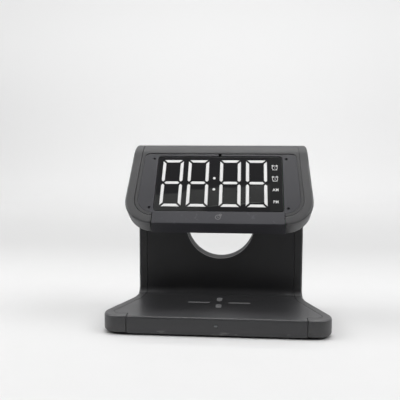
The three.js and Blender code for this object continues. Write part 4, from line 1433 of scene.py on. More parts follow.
@dataclass
class Shells(SubAssembly):
    """Inner and outer shell between the side trims."""

    deck_edge: float = 1.5
    light_width: float = 2.0
    light_height: float = 1.0
    light_level: float = 7.2
    light_play: float = 0.15
    light_corner: float = 0.3
    inlet_width: float = 8.9
    inlet_height: float = 3.2
    inlet_level: float = 9.4
    rim_width: float = 2.0
    groove: float = 0.45
    top_groove: float = 0.65
    side_groove: float = 0.08
    shell_shift: float = 0.1
    plate_corner: float = 3.0
    ledge: float = 1.6
    ledge_inset: float = 0.4
    ledge_drop: float = 1.2
    ledge_sink: float = 1.0
    well_half: float = 44.1
    well_high: float = 55.3
    port_sides: int = 144
    button_hole: float = 3.7
    sound_x: float = 42.0
    sound_ring: float = 2.6
    sound_hole: float = 0.7
    sound_holes: int = 6
    notch_half: float = 0.95
    notch_corner: float = 0.1
    cut_depth: float = 8.0  # how deep cutters go into the face
    beyond: float = 4.0  # how far cutters stand out of a wall
    bore_lead: float = 5.0  # how far the bore's cutter starts before the collar

    @property
    def margin(self) -> float:
        """Distance from the sides to the shells' edges."""
        return self.form.trim_width + self.form.side_seam / 2

    def nose_sheet(self, bm: BMesh, edge: BMEdge, n: float, reach: float | None, end: float) -> None:
        """Ends a sheet in the rounded outline of the head.

        Args:
            bm: Sheet being made.
            edge: Edge across the head that the sheet goes on from.
            n: Level of the sheet, out of the face.
            reach: Half the width of the tongue to the nose, or None where there is none.
            end: Distance up the slope at which the sheet ends.
        """
        f = self.form
        radius = f.head_corner - self.margin
        middle = f.on_face(0, f.head_corner, n)
        edge = draw_edge(bm, edge, f.across(middle.y, middle.z, self.margin))
        if reach is None:
            turn = math.asin((f.head_corner - end) / radius)
        else:
            turn = f.nose_turn(self.margin, n, reach)
        axis = f.face.to_3x3() @ UP
        outline: list[BMVert] = []
        for side in Side:
            x = side.value * (f.column_half - f.head_corner)
            first = bm.verts.new(f.on_face(side.value * (f.column_half - self.margin), f.head_corner, n))
            centre = f.on_face(x, f.head_corner, n)
            arc = swing(bm, [first], centre, axis, -side.value * turn, arc_steps(turn, radius))
            f.splay_points([first, *arc])
            start = min(edge.verts, key=lambda v: (v.co - first.co).length)
            chain = [start, *arc]
            if reach is not None:
                chain.append(bm.verts.new(f.on_face(side.value * reach, end, n)))
            bmesh.ops.weld_verts(bm, targetmap={first: start})
            outline += chain if side is Side.LEFT else reversed(chain)
        bm.faces.new(outline)

    def inner_sheet(self) -> BMesh:
        """Draws the outside of the inner shell.

        Returns:
            The sheet of the deck, the front wall, the column's front and the head's underside.
        """
        f = self.form
        bm = bmesh.new()
        plan = inset_corners(f.base_plan(), self.margin)
        half = f.front_seam - f.front_gap / 2
        end = f.column_front - f.column_fillet
        rear = f.between_seams(end, self.margin)
        right = [Corner(half, self.deck_edge), Corner(half, plan[0].y), *plan[:2], Corner(rear, end)]
        verts = trace(bm, mirrored(right))
        bm.faces.new(verts)
        shift(bm, (0, 0, f.deck))
        front = [v for v in verts if abs(v.co.y - self.deck_edge) < NEAR]
        back = [v for v in verts if abs(v.co.y - end) < NEAR]
        middle = (self.deck_edge, f.deck - self.deck_edge)
        edge = swing_edge(bm, bm.edges.get(front), middle, math.pi / 2)
        draw_edge(bm, edge, [Vector((side.value * half, 0, f.foot_gap)) for side in Side])
        before = set(bm.verts)
        edge = swing_edge(bm, bm.edges.get(back), (end, f.deck + f.column_fillet), math.pi / 2)
        edge = draw_edge(bm, edge, f.across(f.column_front, f.under_middle[1], self.margin))
        edge = swing_edge(bm, edge, f.under_middle, f.bend)
        for vert in set(bm.verts) - before:
            vert.co.x = math.copysign(f.between_seams(vert.co.y, self.margin), vert.co.x)
        reach = f.nose_seam + f.seam_lean - f.seam / 2
        self.nose_sheet(bm, edge, -f.head_thickness, reach, f.wall + f.seam)
        face_outwards(bm, lambda normal: normal.z - normal.y)
        return bm

    def inner_shell(self) -> None:
        """Makes the inner shell with its half of the round opening and the indicator's slot."""
        f = self.form
        ends = [
            Vector((0, depth, f.port_height))
            for depth in (f.column_front - self.beyond, f.column_front + 3 * f.wall)
        ]
        port = rod(f.port_radius, ends, self.port_sides)
        half, rise = self.light_width / 2 + self.light_play, self.light_height / 2 + self.light_play
        low, high = self.light_level - rise, self.light_level + rise
        slot = prism(
            box_corners(-half, low, half, high, self.light_corner), -f.wall * 2, f.wall, f.rear_view
        )
        bm = carve(self.inner_sheet(), [(Cut.TAKE, port), (Cut.TAKE, slot)], f.wall)
        soften(bm, f.seam_edge)
        self.add(bm, "inner_shell_moulding", Finishes.shell, "shell", ["inner_shell"])

    def outer_sheet(self) -> BMesh:
        """Draws the outside of the outer shell.

        Returns:
            The sheet of the column's rear, the apex and the frame of the face.
        """
        f = self.form
        bm = bmesh.new()
        heel = (f.rear - f.heel_round, f.foot_gap + f.heel_round)
        depth = f.rear - f.wall
        turn = math.asin((depth - heel[0]) / f.heel_round)
        ends = f.across(depth, heel[1] - f.heel_round * math.cos(turn), self.margin)
        edge = bm.edges.new([bm.verts.new(end) for end in ends])
        edge = swing_edge(bm, edge, heel, math.pi / 2 - turn)
        edge = draw_edge(bm, edge, f.across(f.rear, f.apex[1], self.margin))
        edge = swing_edge(bm, edge, f.apex, f.bend)
        for vert in bm.verts:
            vert.co.x = math.copysign(f.between_seams(vert.co.y, self.margin), vert.co.x)
        self.nose_sheet(bm, edge, 0.0, None, f.trim_width + f.seam)
        face_outwards(bm, lambda normal: normal.y + normal.z)
        return bm

    def plate_outline(self, gap: float) -> list[Corner]:
        """Draws the face plate, or the pocket round it, without the tongue.

        Args:
            gap: How far the outline lies outside the plate, or 0 for the plate itself.

        Returns:
            The corners of the outline, anticlockwise.
        """
        f = self.form
        over = gap - self.groove
        grown = over if over > 0 else over * self.side_groove / self.groove
        margin = self.margin + self.rim_width - grown
        half = f.column_half - margin
        drop = self.groove if gap else self.top_groove
        top = f.face_length - drop + gap
        lower, upper = f.head_corner - margin, self.plate_corner + gap
        return [
            Corner(-half, margin, lower),
            Corner(half, margin, lower),
            Corner(half, top, upper),
            Corner(-half, top, upper),
        ]

    def notch(self, low: float) -> BMesh:
        """Solid of the catch's slot between the window and the groove above it."""
        outline = (-self.notch_half, low, self.notch_half, self.form.face_length - self.groove)
        return prism(
            box_corners(*outline, self.notch_corner), -self.cut_depth, self.form.wall + 1, self.form.face
        )

    def pocket(self) -> BMesh:
        """Makes what the face plate and its groove take out of the frame.

        Returns:
            The cutter.
        """
        f = self.form
        cutter = prism(self.plate_outline(self.groove), -f.wall - f.seam, f.wall, f.face)
        f.splay_points(cutter.verts)
        return cutter

    def outer_shell(self) -> None:
        """Makes the outer shell with its collar, pocket and openings."""
        f = self.form
        inner, rear = f.column_front + f.wall, f.rear

        def through(x: float, z: float, near: float = 0.0) -> tuple[Vector, Vector]:
            """Ends of a hole through the rear wall."""
            return Vector((x, inner - near, z)), Vector((x, rear + self.beyond, z))

        lip = f.face_length - self.ledge_drop
        seat = [
            Corner(c.x - math.copysign(self.ledge_inset, c.x), min(c.y, lip), c.radius)
            for c in self.plate_outline(self.rim_width + self.groove)
        ]
        ledge = prism(seat, -f.wall - f.seam - self.ledge, -self.ledge_sink, f.face)
        f.splay_points(ledge.verts)
        well = prism(
            box_corners(-self.well_half, -f.wall, self.well_half, self.well_high),
            -3 * f.wall,
            2 * f.wall,
            f.face,
        )
        reach = f.nose_seam + f.seam / 2
        tongue = prism(
            box_corners(-reach, -f.wall, reach, f.head_corner), -f.wall - f.seam, f.wall + 1, f.face
        )
        ends = [Vector((0, depth, f.port_height)) for depth in (inner + f.seam, rear - f.wall / 2)]
        collar = rod(f.port_radius + f.wall, ends, self.port_sides)
        bore = rod(f.port_radius, through(0, f.port_height, self.bore_lead), self.port_sides)
        half, rise = self.inlet_width / 2 + f.seam, self.inlet_height / 2 + f.seam
        low, high = self.inlet_level - rise, self.inlet_level + rise
        holes = prism(
            box_corners(-half, low, half, high, ROUND_END * rise),
            -rear - self.beyond,
            -inner,
            f.rear_view,
        )
        for x in f.button_places:
            add_rod(holes, self.button_hole, through(x, f.button_level))
        for step in range(self.sound_holes):
            turn = 2 * math.pi * step / self.sound_holes
            place = arc_point((self.sound_x, f.button_level), self.sound_ring, turn)
            add_rod(holes, self.sound_hole, through(*place), 20)
        cuts = [
            (Cut.ADD, ledge),
            (Cut.ADD, collar),
            (Cut.TAKE, self.pocket()),
            (Cut.TAKE, tongue),
            (Cut.TAKE, well),
            (Cut.TAKE, self.notch(self.well_high - 1)),
            (Cut.TAKE, bore),
            (Cut.TAKE, holes),
        ]
        bm = carve(self.outer_sheet(), cuts, f.wall)
        soften(bm, f.seam_edge)
        shift(bm, (self.shell_shift, 0, 0))
        self.add(bm, "outer_shell_moulding", Finishes.outer, "shell", ["outer_shell"])

    def build(self) -> None:
        """Makes both shells."""
        self.inner_shell()
        self.outer_shell()


@dataclass
class FacePlate(Shells):
    """Plate let into the head, with its screws."""

    tongue_half: float = 43.92
    tongue_root: float = 9.0  # about where the tongue begins, up the slope
    screw_rows: tuple[Row, ...] = (("lower", 46.5, 12.2), ("upper", 46.5, 52.8))
    screw_head: float = 0.8
    screw_sink: float = 0.5
    screw_back: float = 1.0
    screw_play: float = 0.15
    screw_seat: float = 1.3
    screw_shank: float = 0.45
    screw_tip: float = 4.4
    recess_reach: float = 0.55
    recess_half: float = 0.1
    recess_floor: float = -0.75
    plate_edge: float = 0.22
    nose_round: float = 0.5
    nose_steps: int = 4

    def sheet(self) -> BMesh:
        """Draws the outside of the plate, with its tongue folded under the nose.

        Returns:
            The sheet.
        """
        f = self.form
        bm = bmesh.new()
        _, lower_right, *upper = self.plate_outline(0.0)
        radius, centre_x = lower_right.radius, f.column_half - f.head_corner

        def drawn(x: float, s: float) -> float:
            """Width on the drawing of a width on the splayed face."""
            return x / f.splay(f.on_face(0, s, 0).y)

        rise = math.sqrt(radius**2 - (drawn(self.tongue_half, self.tongue_root) - centre_x) ** 2)
        step = f.head_corner - rise
        turn = math.atan2(rise, drawn(self.tongue_half, step) - centre_x)
        ends = [Corner(side.value * lower_right.x, f.head_corner) for side in Side]
        top = trace(bm, [*ends, *upper])
        low = [v for v in top if abs(v.co.y - f.head_corner) < NEAR]
        bm.edges.remove(bm.edges.get(low))
        outline = [v for v in top if v not in low]
        chains = {}
        for side in Side:
            start = next(v for v in low if v.co.x * side.value > 0)
            centre = Vector((side.value * centre_x, f.head_corner, 0))
            arc = swing(bm, [start], centre, UP, -side.value * turn, arc_steps(turn, radius))
            tip = bm.verts.new((side.value * drawn(self.tongue_half, 0), 0, 0))
            chains[side] = [start, *arc, tip]
        bm.faces.new([*outline, *chains[Side.LEFT], *reversed(chains[Side.RIGHT])])
        move(bm, f.face)
        f.splay_points(bm.verts)
        nose = bm.edges.get([chains[side][-1] for side in Side])
        wide = self.tongue_half + f.seam_lean
        for s in (0, f.wall):
            ends = [f.on_face(side.value * wide, s, -f.head_thickness) for side in Side]
            nose = draw_edge(bm, nose, ends)
        face_outwards(bm, lambda normal: -normal.y)
        return bm

    def plate(self) -> None:
        """Makes the plate with its window, screw seats and notch."""
        f = self.form
        half, corner = f.window_half + f.seam, f.window_corner + f.seam
        window = prism(
            box_corners(-half, f.window_low - f.seam, half, f.window_high + f.seam, corner),
            -self.cut_depth,
            2 * f.wall,
            f.face,
        )
        notch = self.notch(f.window_high)
        seats = bmesh.new()
        for _, x, s in pairs(self.screw_rows):
            ends = f.on_face(x, s, -self.screw_seat), f.on_face(x, s, f.wall)
            add_rod(seats, self.screw_head + self.screw_play, ends, 32)
        bm = carve(self.sheet(), [(Cut.TAKE, cutter) for cutter in (window, notch, seats)], f.wall)
        to_face = f.face.inverted()
        long = [edge for edge in bm.edges if edge.calc_length() > self.tongue_half]
        nose = [e for e in long if all(abs((to_face @ v.co).y) < 10 * NEAR for v in e.verts)]
        round_edges(bm, nose, self.nose_round, self.nose_steps)
        soften(bm, self.plate_edge)
        shift(bm, (self.shell_shift, 0, 0))
        self.add(bm, "face_plate_moulding", Finishes.plate, "plate", ["face_plate"])

    def screws(self) -> None:
        """Makes the screws with their cross recesses."""
        for name, x, s in pairs(self.screw_rows):
            bm = bmesh.new()
            add_rod(bm, self.screw_head, upright(-self.screw_back, -self.screw_sink), 32)
            soften(bm, 0.12, 3)
            bm = carve(bm, cross_recess(self.recess_reach, self.recess_half, 0, self.recess_floor))
            shank = rod(self.screw_shank, upright(-self.screw_tip, 2 * HAIR - self.screw_back), 24)
            bm = carve(bm, [(Cut.ADD, shank)])
            move(bm, self.form.face @ Matrix.Translation((x, s, 0)))
            self.add(bm, f"face_screw_head_{name}", Finishes.screw, "screw", [f"face_screw_{name}"])

    def build(self) -> None:
        """Makes the plate and its screws."""
        self.plate()
        self.screws()


# Display ------------------------------------------------------------------------------------------


@dataclass
class Display(SubAssembly):
    """Black window, its lit bars and its printed signs."""

    sink: float = 0.3
    thickness: float = 1.6
    rim_round: float = 0.3
    bar_round: float = 0.1
    bar_root: float = 0.4  # how far the bars go back behind the window
    sheet_inset: float = 1.7
    sheet_corner: float = 0.5
    sheet_gap: float = 0.15
    sheet_thickness: float = 1.0
    digit_width: float = 15.8
    digit_height: float = 39.95
    stroke: float = 3.45
    digit_low: float = 12.7
    digit_places: tuple[float, ...] = (-40.45, -22.4, -0.2, 17.85)
    colon_x: float = -3.3
    colon_pitch: float = 9.2
    colon_drop: float = 0.7
    colon_radius: float = 0.95
    bar_gap: float = 1.4
    clear: float = 0.12
    ink: float = 0.03
    sign_x: float = 38.35
    bell_rows: tuple[float, float] = (45.9, 36.5)
    half_day_rows: tuple[float, float] = (27.2, 17.55)

    def bar_outlines(self) -> list[list[Place]]:
        """Draws one digit's seven bars, with the digit's lower left corner at the origin.

        Returns:
            The corners of each bar.
        """
        w, h, t = self.digit_width, self.digit_height, self.stroke
        under, over = h / 2 - t / 2, h / 2 + t / 2
        bottom = [(0, 0), (w, 0), (w - t, t), (t, t)]
        left = [(0, under), (t / 2, h / 2), (t, under), (t, t), (0, 0)]
        tips = [(t / 2, h / 2), (w - t / 2, h / 2)]
        middle = [tips[0], (t, under), (w - t, under), tips[1], (w - t, over), (t, over)]
        right = [(w - x, y) for x, y in reversed(left)]
        lower = [bottom, left, right]
        return [*lower, middle, *([(x, h - y) for x, y in reversed(bar)] for bar in lower)]

    def lit_faces(self, bm: BMesh, grow: float) -> list[BMFace]:
        """Draws every lit shape.

        Args:
            bm: Mesh being made.
            grow: How much wider the shapes are than the bars.

        Returns:
            The flat faces of the bars and the colon's dots.
        """
        bars = [
            bm.faces.new([bm.verts.new((x + left, y + self.digit_low, 0)) for x, y in outline])
            for left in self.digit_places
            for outline in self.bar_outlines()
        ]
        bmesh.ops.recalc_face_normals(bm, faces=bars)
        made = bmesh.ops.inset_individual(
            bm, faces=bars, thickness=self.bar_gap / 2 - grow, use_even_offset=True
        )
        bmesh.ops.delete(bm, geom=made["faces"], context="FACES")
        middle = self.digit_low + self.digit_height / 2 - self.colon_drop
        for side in (-1, 1):
            bmesh.ops.create_circle(
                bm,
                cap_ends=True,
                segments=32,
                radius=self.colon_radius + grow,
                matrix=Matrix.Translation((self.colon_x, middle + side * self.colon_pitch / 2, 0)),
            )
        return bm.faces[:]

    def mask(self) -> None:
        """Makes the window with an opening for every lit shape."""
        f = self.form
        pane = prism(
            box_corners(-f.window_half, f.window_low, f.window_half, f.window_high, f.window_corner),
            -self.sink - self.thickness,
            -self.sink,
        )
        rim = [e for e in pane.edges if all(abs(v.co.z + self.sink) < NEAR for v in e.verts)]
        round_edges(pane, rim, self.rim_round, 3)
        cutter = bmesh.new()
        faces = self.lit_faces(cutter, self.clear)
        shift(cutter, (0, 0, -self.thickness - 2))
        thicken(cutter, faces, self.thickness + 4)
        bm = carve(pane, [(Cut.TAKE, cutter)])
        move(bm, f.face)
        self.add(bm, "display_window", Finishes.window, "mask", ["display_mask"])

    def bars(self) -> None:
        """Makes the lit bars on their common sheet behind the window."""
        f = self.form
        bm = bmesh.new()
        faces = self.lit_faces(bm, 0.0)
        back = -self.sink - self.thickness
        shift(bm, (0, 0, back - self.bar_root))
        top = set(thicken(bm, faces, self.thickness + self.bar_root))
        rim = [e for e in bm.edges if top.issuperset(e.verts)]
        round_edges(bm, rim, self.bar_round, 2)
        half = f.window_half - self.sheet_inset
        low, high = f.window_low + self.sheet_inset, f.window_high - self.sheet_inset
        sheet = prism(
            box_corners(-half, low, half, high, self.sheet_corner),
            back - self.sheet_gap - self.sheet_thickness,
            back - self.sheet_gap,
        )
        bm = carve(sheet, [(Cut.ADD, bm)])
        move(bm, f.face)
        self.add(bm, "lit_bars", Finishes.segment, "diffuser", ["segment_diffuser"])

    def ring(self, radius: float, stroke: float) -> BMesh:
        """Prints a flat ring about the origin.

        Args:
            radius: Outer radius.
            stroke: Width of the ring.

        Returns:
            The ring's solid.
        """
        bm = bmesh.new()
        bmesh.ops.create_circle(bm, cap_ends=True, segments=40, radius=radius)
        inner = bm.faces[:]
        bmesh.ops.inset_individual(bm, faces=inner, thickness=stroke, use_even_offset=True)
        bmesh.ops.delete(bm, geom=inner, context="FACES")
        thicken(bm, bm.faces[:], self.ink)
        return bm

    def stroke_bar(self, start: Place, end: Place, width: float) -> BMesh:
        """Prints a flat bar with rounded ends.

        Args:
            start: Middle of one end's rounding.
            end: Middle of the other's.
            width: Width of the bar.

        Returns:
            The bar's solid.
        """
        along = Vector(end) - Vector(start)
        turn = Matrix.Rotation(math.atan2(along.y, along.x), 4, "Z")
        place = Matrix.Translation((*(Vector(start) + Vector(end)) / 2, 0))
        half, rise = along.length / 2 + width / 2, width / 2
        return prism(box_corners(-half, -rise, half, rise, ROUND_END * rise), 0, self.ink, place @ turn)

    def bell_sign(self, number: str) -> BMesh:
        """Prints the sign of an alarm: a round clock with two bells, two legs and a number.

        Args:
            number: The alarm's number.

        Returns:
            The sign's solid.
        """
        parts = [self.ring(1.95, 0.36)]
        for side in (-1, 1):
            parts.append(self.stroke_bar((side * 1.25, 2.15), (side * 1.8, 1.65), 0.75))
            parts.append(self.stroke_bar((side * 1.15, -1.55), (side * 1.35, -1.85), 0.4))
        parts.append(lettering(number, 1.4, 0.0, self.ink, Matrix.Translation((0, 0, self.ink / 2))))
        bm = join(*parts)
        shift(bm, (0, -0.35, 0))
        return bm

    def signs(self) -> None:
        """Makes the signs in the window's right column."""
        letters = Matrix.Translation((0.25, 0, self.ink / 2)) @ Matrix.Diagonal((0.88, 1, 1, 1))
        for name, s, sign in (
            ("first_alarm", self.bell_rows[0], self.bell_sign("1")),
            ("second_alarm", self.bell_rows[1], self.bell_sign("2")),
            ("morning", self.half_day_rows[0], lettering("AM", 2.15, 0.06, self.ink, letters)),
            ("afternoon", self.half_day_rows[1], lettering("PM", 2.15, 0.06, self.ink, letters)),
        ):
            place = Matrix.Translation((self.sign_x, s, -self.sink - self.ink / 3))
            move(sign, self.form.face @ place)
            self.add(sign, f"{name}_sign", Finishes.sign, "diffuser")

    def build(self) -> None:
        """Makes the window, its bars and its signs."""
        self.mask()
        self.bars()
        self.signs()


@dataclass
class PrintedMarks(Display):
    """Marks on the deck and on the chin of the face."""

    deck_x: float = 0.5
    deck_y: float = 36.2
    line_near: float = 7.8
    line_far: float = 20.6
    line_width: float = 2.7
    arm_reach: float = 8.2
    arm_length: float = 9.0
    arm_width: float = 3.8
    touch_x: float = 0.7
    touch_s: float = 5.6
    touch_lean: float = 136.0

    def deck_mark(self) -> None:
        """Makes the crosshair that shows where a phone's middle goes."""
        parts = []
        for side in (-1, 1):
            near, far = side * self.line_near, side * self.line_far
            parts.append(self.stroke_bar((near, 0), (far, 0), self.line_width))
            middle, half = side * self.arm_reach, (self.arm_length - self.arm_width) / 2
            parts.append(self.stroke_bar((0, middle - half), (0, middle + half), self.arm_width))
        bm = join(*parts)
        place = Matrix.Translation((self.deck_x, self.deck_y, self.form.deck - self.ink / 3))
        move(bm, place)
        self.add(bm, "deck_crosshair", Finishes.deck_mark, "diffuser")

    def touch_mark(self) -> None:
        """Makes the lamp sign over the touch spring."""
        bulb = self.ring(1.9, 0.55)
        shift(bulb, (0, 0.7, 0))
        parts = [bulb, self.stroke_bar((-0.95, -1.5), (0.95, -1.5), 0.55)]
        parts.append(self.stroke_bar((-0.55, -2.3), (0.55, -2.3), 0.55))
        parts.append(self.stroke_bar((-0.45, 0.7), (0.45, 0.7), 0.45))
        bm = join(*parts)
        lean = Matrix.Rotation(math.radians(self.touch_lean), 4, "Z")
        place = Matrix.Translation((self.touch_x, self.touch_s, -self.ink / 3)) @ lean
        move(bm, self.form.face @ place)
        self.add(bm, "touch_lamp_sign", Finishes.touch_mark, "diffuser")

    def build(self) -> None:
        """Makes the marks."""
        self.deck_mark()
        self.touch_mark()


# Controls and fastenings --------------------------------------------------------------------------


@dataclass
class Buttons(SubAssembly):
    """Push buttons on the rear, each with a dished cap and a raised sign."""

    names: tuple[str, ...] = ("set", "up", "down", "alarm", "dimmer")
    radius: float = 3.4
    flange: float = 4.4
    flange_rear: float = 73.1
    flange_thickness: float = 0.8
    stem: float = 1.8
    stem_tip: float = 70.35
    dish: float = 0.25
    sides: int = 64

    def cap(self) -> BMesh:
        """Spins a button about its axis, which is Z, with its cap upwards from the rear face.

        Returns:
            The button's solid.
        """
        rear = self.form.rear
        end = self.form.button_proud
        front = self.flange_rear - self.flange_thickness - rear
        section = [
            (0.0, self.stem_tip - rear),
            (self.stem, self.stem_tip - rear),
            (self.stem, front),
            (self.flange, front),
            (self.flange, self.flange_rear - rear),
            (self.radius, self.flange_rear - rear),
            (self.radius, end - 0.4),
            (self.radius - 0.12, end - 0.12),
            (self.radius - 0.4, end),
            (self.radius - 0.7, end),
            (self.radius - 1.1, end - self.dish),
            (0.0, end - self.dish),
        ]
        bm = bmesh.new()
        verts = [bm.verts.new((r, 0, z)) for r, z in section]
        edges = [bm.edges.new(pair) for pair in zip(verts, verts[1:])]
        bmesh.ops.spin(
            bm,
            geom=[*verts, *edges],
            cent=(0, 0, 0),
            axis=(0, 0, 1),
            dvec=(0, 0, 0),
            angle=2 * math.pi,
            steps=self.sides,
            use_merge=True,
        )
        bmesh.ops.remove_doubles(bm, verts=bm.verts, dist=NEAR)
        bmesh.ops.recalc_face_normals(bm, faces=bm.faces[:])
        soften(bm, 0.1)
        return bm

    def sign(self, name: str) -> BMesh:
        """Raised sign on a cap, in the plane of the cap.

        Args:
            name: Which button it is for.

        Returns:
            The sign's solid.
        """
        low, high = self.form.button_proud - self.dish - 0.1, self.form.button_proud - 0.05
        outlines = {
            "up": [(-1.3, -0.9, 0.2), (1.3, -0.9, 0.2), (0, 1.3, 0.2)],
            "down": [(-1.3, 0.9, 0.2), (0, -1.3, 0.2), (1.3, 0.9, 0.2)],
            "alarm": [
                *((-1.5, -0.8, 0.15), (1.5, -0.8, 0.15), (1.0, -0.1, 0.3)),
                *((0.95, 1.5, 0.85), (-0.95, 1.5, 0.85), (-1.0, -0.1, 0.3)),
            ],
        }
        if name == "set":
            return lettering("SET", 1.35, 0.02, high - low, Matrix.Translation((0, 0, (low + high) / 2)))
        if name in outlines:
            bm = prism([Corner(*corner) for corner in outlines[name]], low, high)
            if name == "alarm":
                add_rod(bm, 0.45, (Vector((0, -1.3, low)), Vector((0, -1.3, high))), 24)
            return bm
        rim, disc = (rod(radius, upright(low, high), 40) for radius in (1.6, 0.95))
        hole = rod(1.25, upright(low - 1, high + 1), 40)
        half = prism(box_corners(-2, -2, 0, 2), low - 1, high + 1)
        return join(carve(rim, [(Cut.TAKE, hole)]), carve(disc, [(Cut.TAKE, half)]))

    def build(self) -> None:
        """Makes the buttons."""
        f = self.form
        to_rear, about = Matrix.Rotation(-math.pi / 2, 4, "X"), Matrix.Rotation(math.pi, 4, "Z")
        for name, x in zip(self.names, f.button_places):
            place = Matrix.Translation((x, f.rear, f.button_level)) @ to_rear @ about
            cap, sign = self.cap(), self.sign(name)
            for bm in (cap, sign):
                move(bm, place)
            key = f"{name}_key"
            self.add(cap, f"{name}_button_cap", Finishes.button, "trim", [f"{name}_button"], key)
            self.add(sign, f"{name}_button_sign", Finishes.button_mark, "diffuser", body=key)


@dataclass
class Underside(SubAssembly):
    """Feet and screws under the base."""

    foot_radius: float = 5.0
    foot_top: float = 1.7
    sole_rings: tuple[tuple[float, float], ...] = ((0.7, 0.0), (0.4, -0.15), (0.9, 0.0), (0.4, 0.15))
    feet: tuple[Row, ...] = (("front", 56.0, 14.0), ("rear", 44.0, 66.0))
    screws: tuple[Row, ...] = (("front", 41.0, 14.0), ("rear", 46.0, 50.0))
    screw_head: float = 2.6
    screw_seat: float = 2.15
    screw_shank: float = 1.0
    screw_top: float = 9.6
    screw_round: float = 0.35
    recess_reach: float = 1.5
    recess_half: float = 0.32
    recess_depth: float = 0.55

    def foot(self) -> BMesh:
        """Makes a foot with a rounded rim and shallow rings in its sole.

        Returns:
            The foot's solid.
        """
        bm = bmesh.new()
        add_rod(bm, self.foot_radius, upright(0, self.foot_top), 64)
        sole = min(bm.faces, key=lambda face: face.calc_center_median().z)
        for width, depth in self.sole_rings:
            bmesh.ops.inset_region(bm, faces=[sole], thickness=width, depth=depth, use_even_offset=True)
        soften(bm, 0.15, 2, 0.9)
        return bm

    def screw(self) -> BMesh:
        """Makes a pan-head screw, head down, with a cross recess.

        Returns:
            The screw's solid.
        """
        low = self.form.foot_gap + self.form.seam / 2
        bm = bmesh.new()
        add_rod(bm, self.screw_head, upright(low, self.screw_seat), 48)
        rim = [e for e in bm.edges if all(abs(v.co.z - low) < NEAR for v in e.verts)]
        round_edges(bm, rim, self.screw_round, 4)
        recess = cross_recess(
            self.recess_reach, self.recess_half, low - 1, low + self.recess_depth, 0.1
        )
        shank = rod(self.screw_shank, upright(self.screw_seat - 0.1, self.screw_top), 32)
        return carve(bm, [*recess, (Cut.ADD, shank)])

    def build(self) -> None:
        """Makes the feet and the screws."""
        for name, x, y in pairs(self.feet):
            bm = self.foot()
            shift(bm, (x, y, 0))
            self.add(bm, f"foot_pad_{name}", Finishes.rubber, "rubber", [f"foot_{name}"])
        for name, x, y in pairs(self.screws):
            bm = self.screw()
            turn = Matrix.Translation((x, y, 0)) @ Matrix.Rotation(0.1 * x, 4, "Z")
            move(bm, turn)
            self.add(bm, f"base_screw_head_{name}", Finishes.screw, "screw", [f"base_screw_{name}"])


@dataclass
class KeptSolids(SubAssembly):
    """CAD solids that stay as they are and get a finish."""

    def build(self) -> None:
        """Dresses the solids."""
        finishes = {
            "base_cover": Finishes.cover,
            "display_board": Finishes.board,
            "touch_spring": Finishes.nickel,
            "charging_coil": Finishes.copper,
            "ferrite_sheet": Finishes.ferrite,
            "charger_board": Finishes.board,
            "usb_socket": Finishes.nickel,
            "indicator_light_pipe": Finishes.indicator,
            "cell_holder": Finishes.holder,
            "coin_cell": Finishes.nickel,
            "button_board": Finishes.board,
            "buzzer": Finishes.buzzer,
            "ribbon_cable": Finishes.cable,
        }
        for node, finish in finishes.items():
            mesh = frame["nodes"][node].data
            mesh.materials.clear()
            mesh.materials.append(finish.make())
            log.info("%s: dressed in %s", node, finish.name)


# Stage --------------------------------------------------------------------------------------------


@dataclass(frozen=True)
class Softbox:
    """Square soft lamp, with lengths in metres."""

    name: str
    at: Point
    aim: Point
    size: float
    power: float  # watts

    def hang(self) -> None:
        """Adds the lamp to the scene."""
        data = bpy.data.lights.new(self.name, "AREA")
        data.shape, data.size, data.energy = "SQUARE", self.size, self.power
        lamp = bpy.data.objects.new(self.name, data)
        turn = (Vector(self.aim) - Vector(self.at)).to_track_quat("-Z", "Y").to_matrix().to_4x4()
        lamp.matrix_world = Matrix.Translation(self.at) @ turn
        bpy.context.scene.collection.objects.link(lamp)


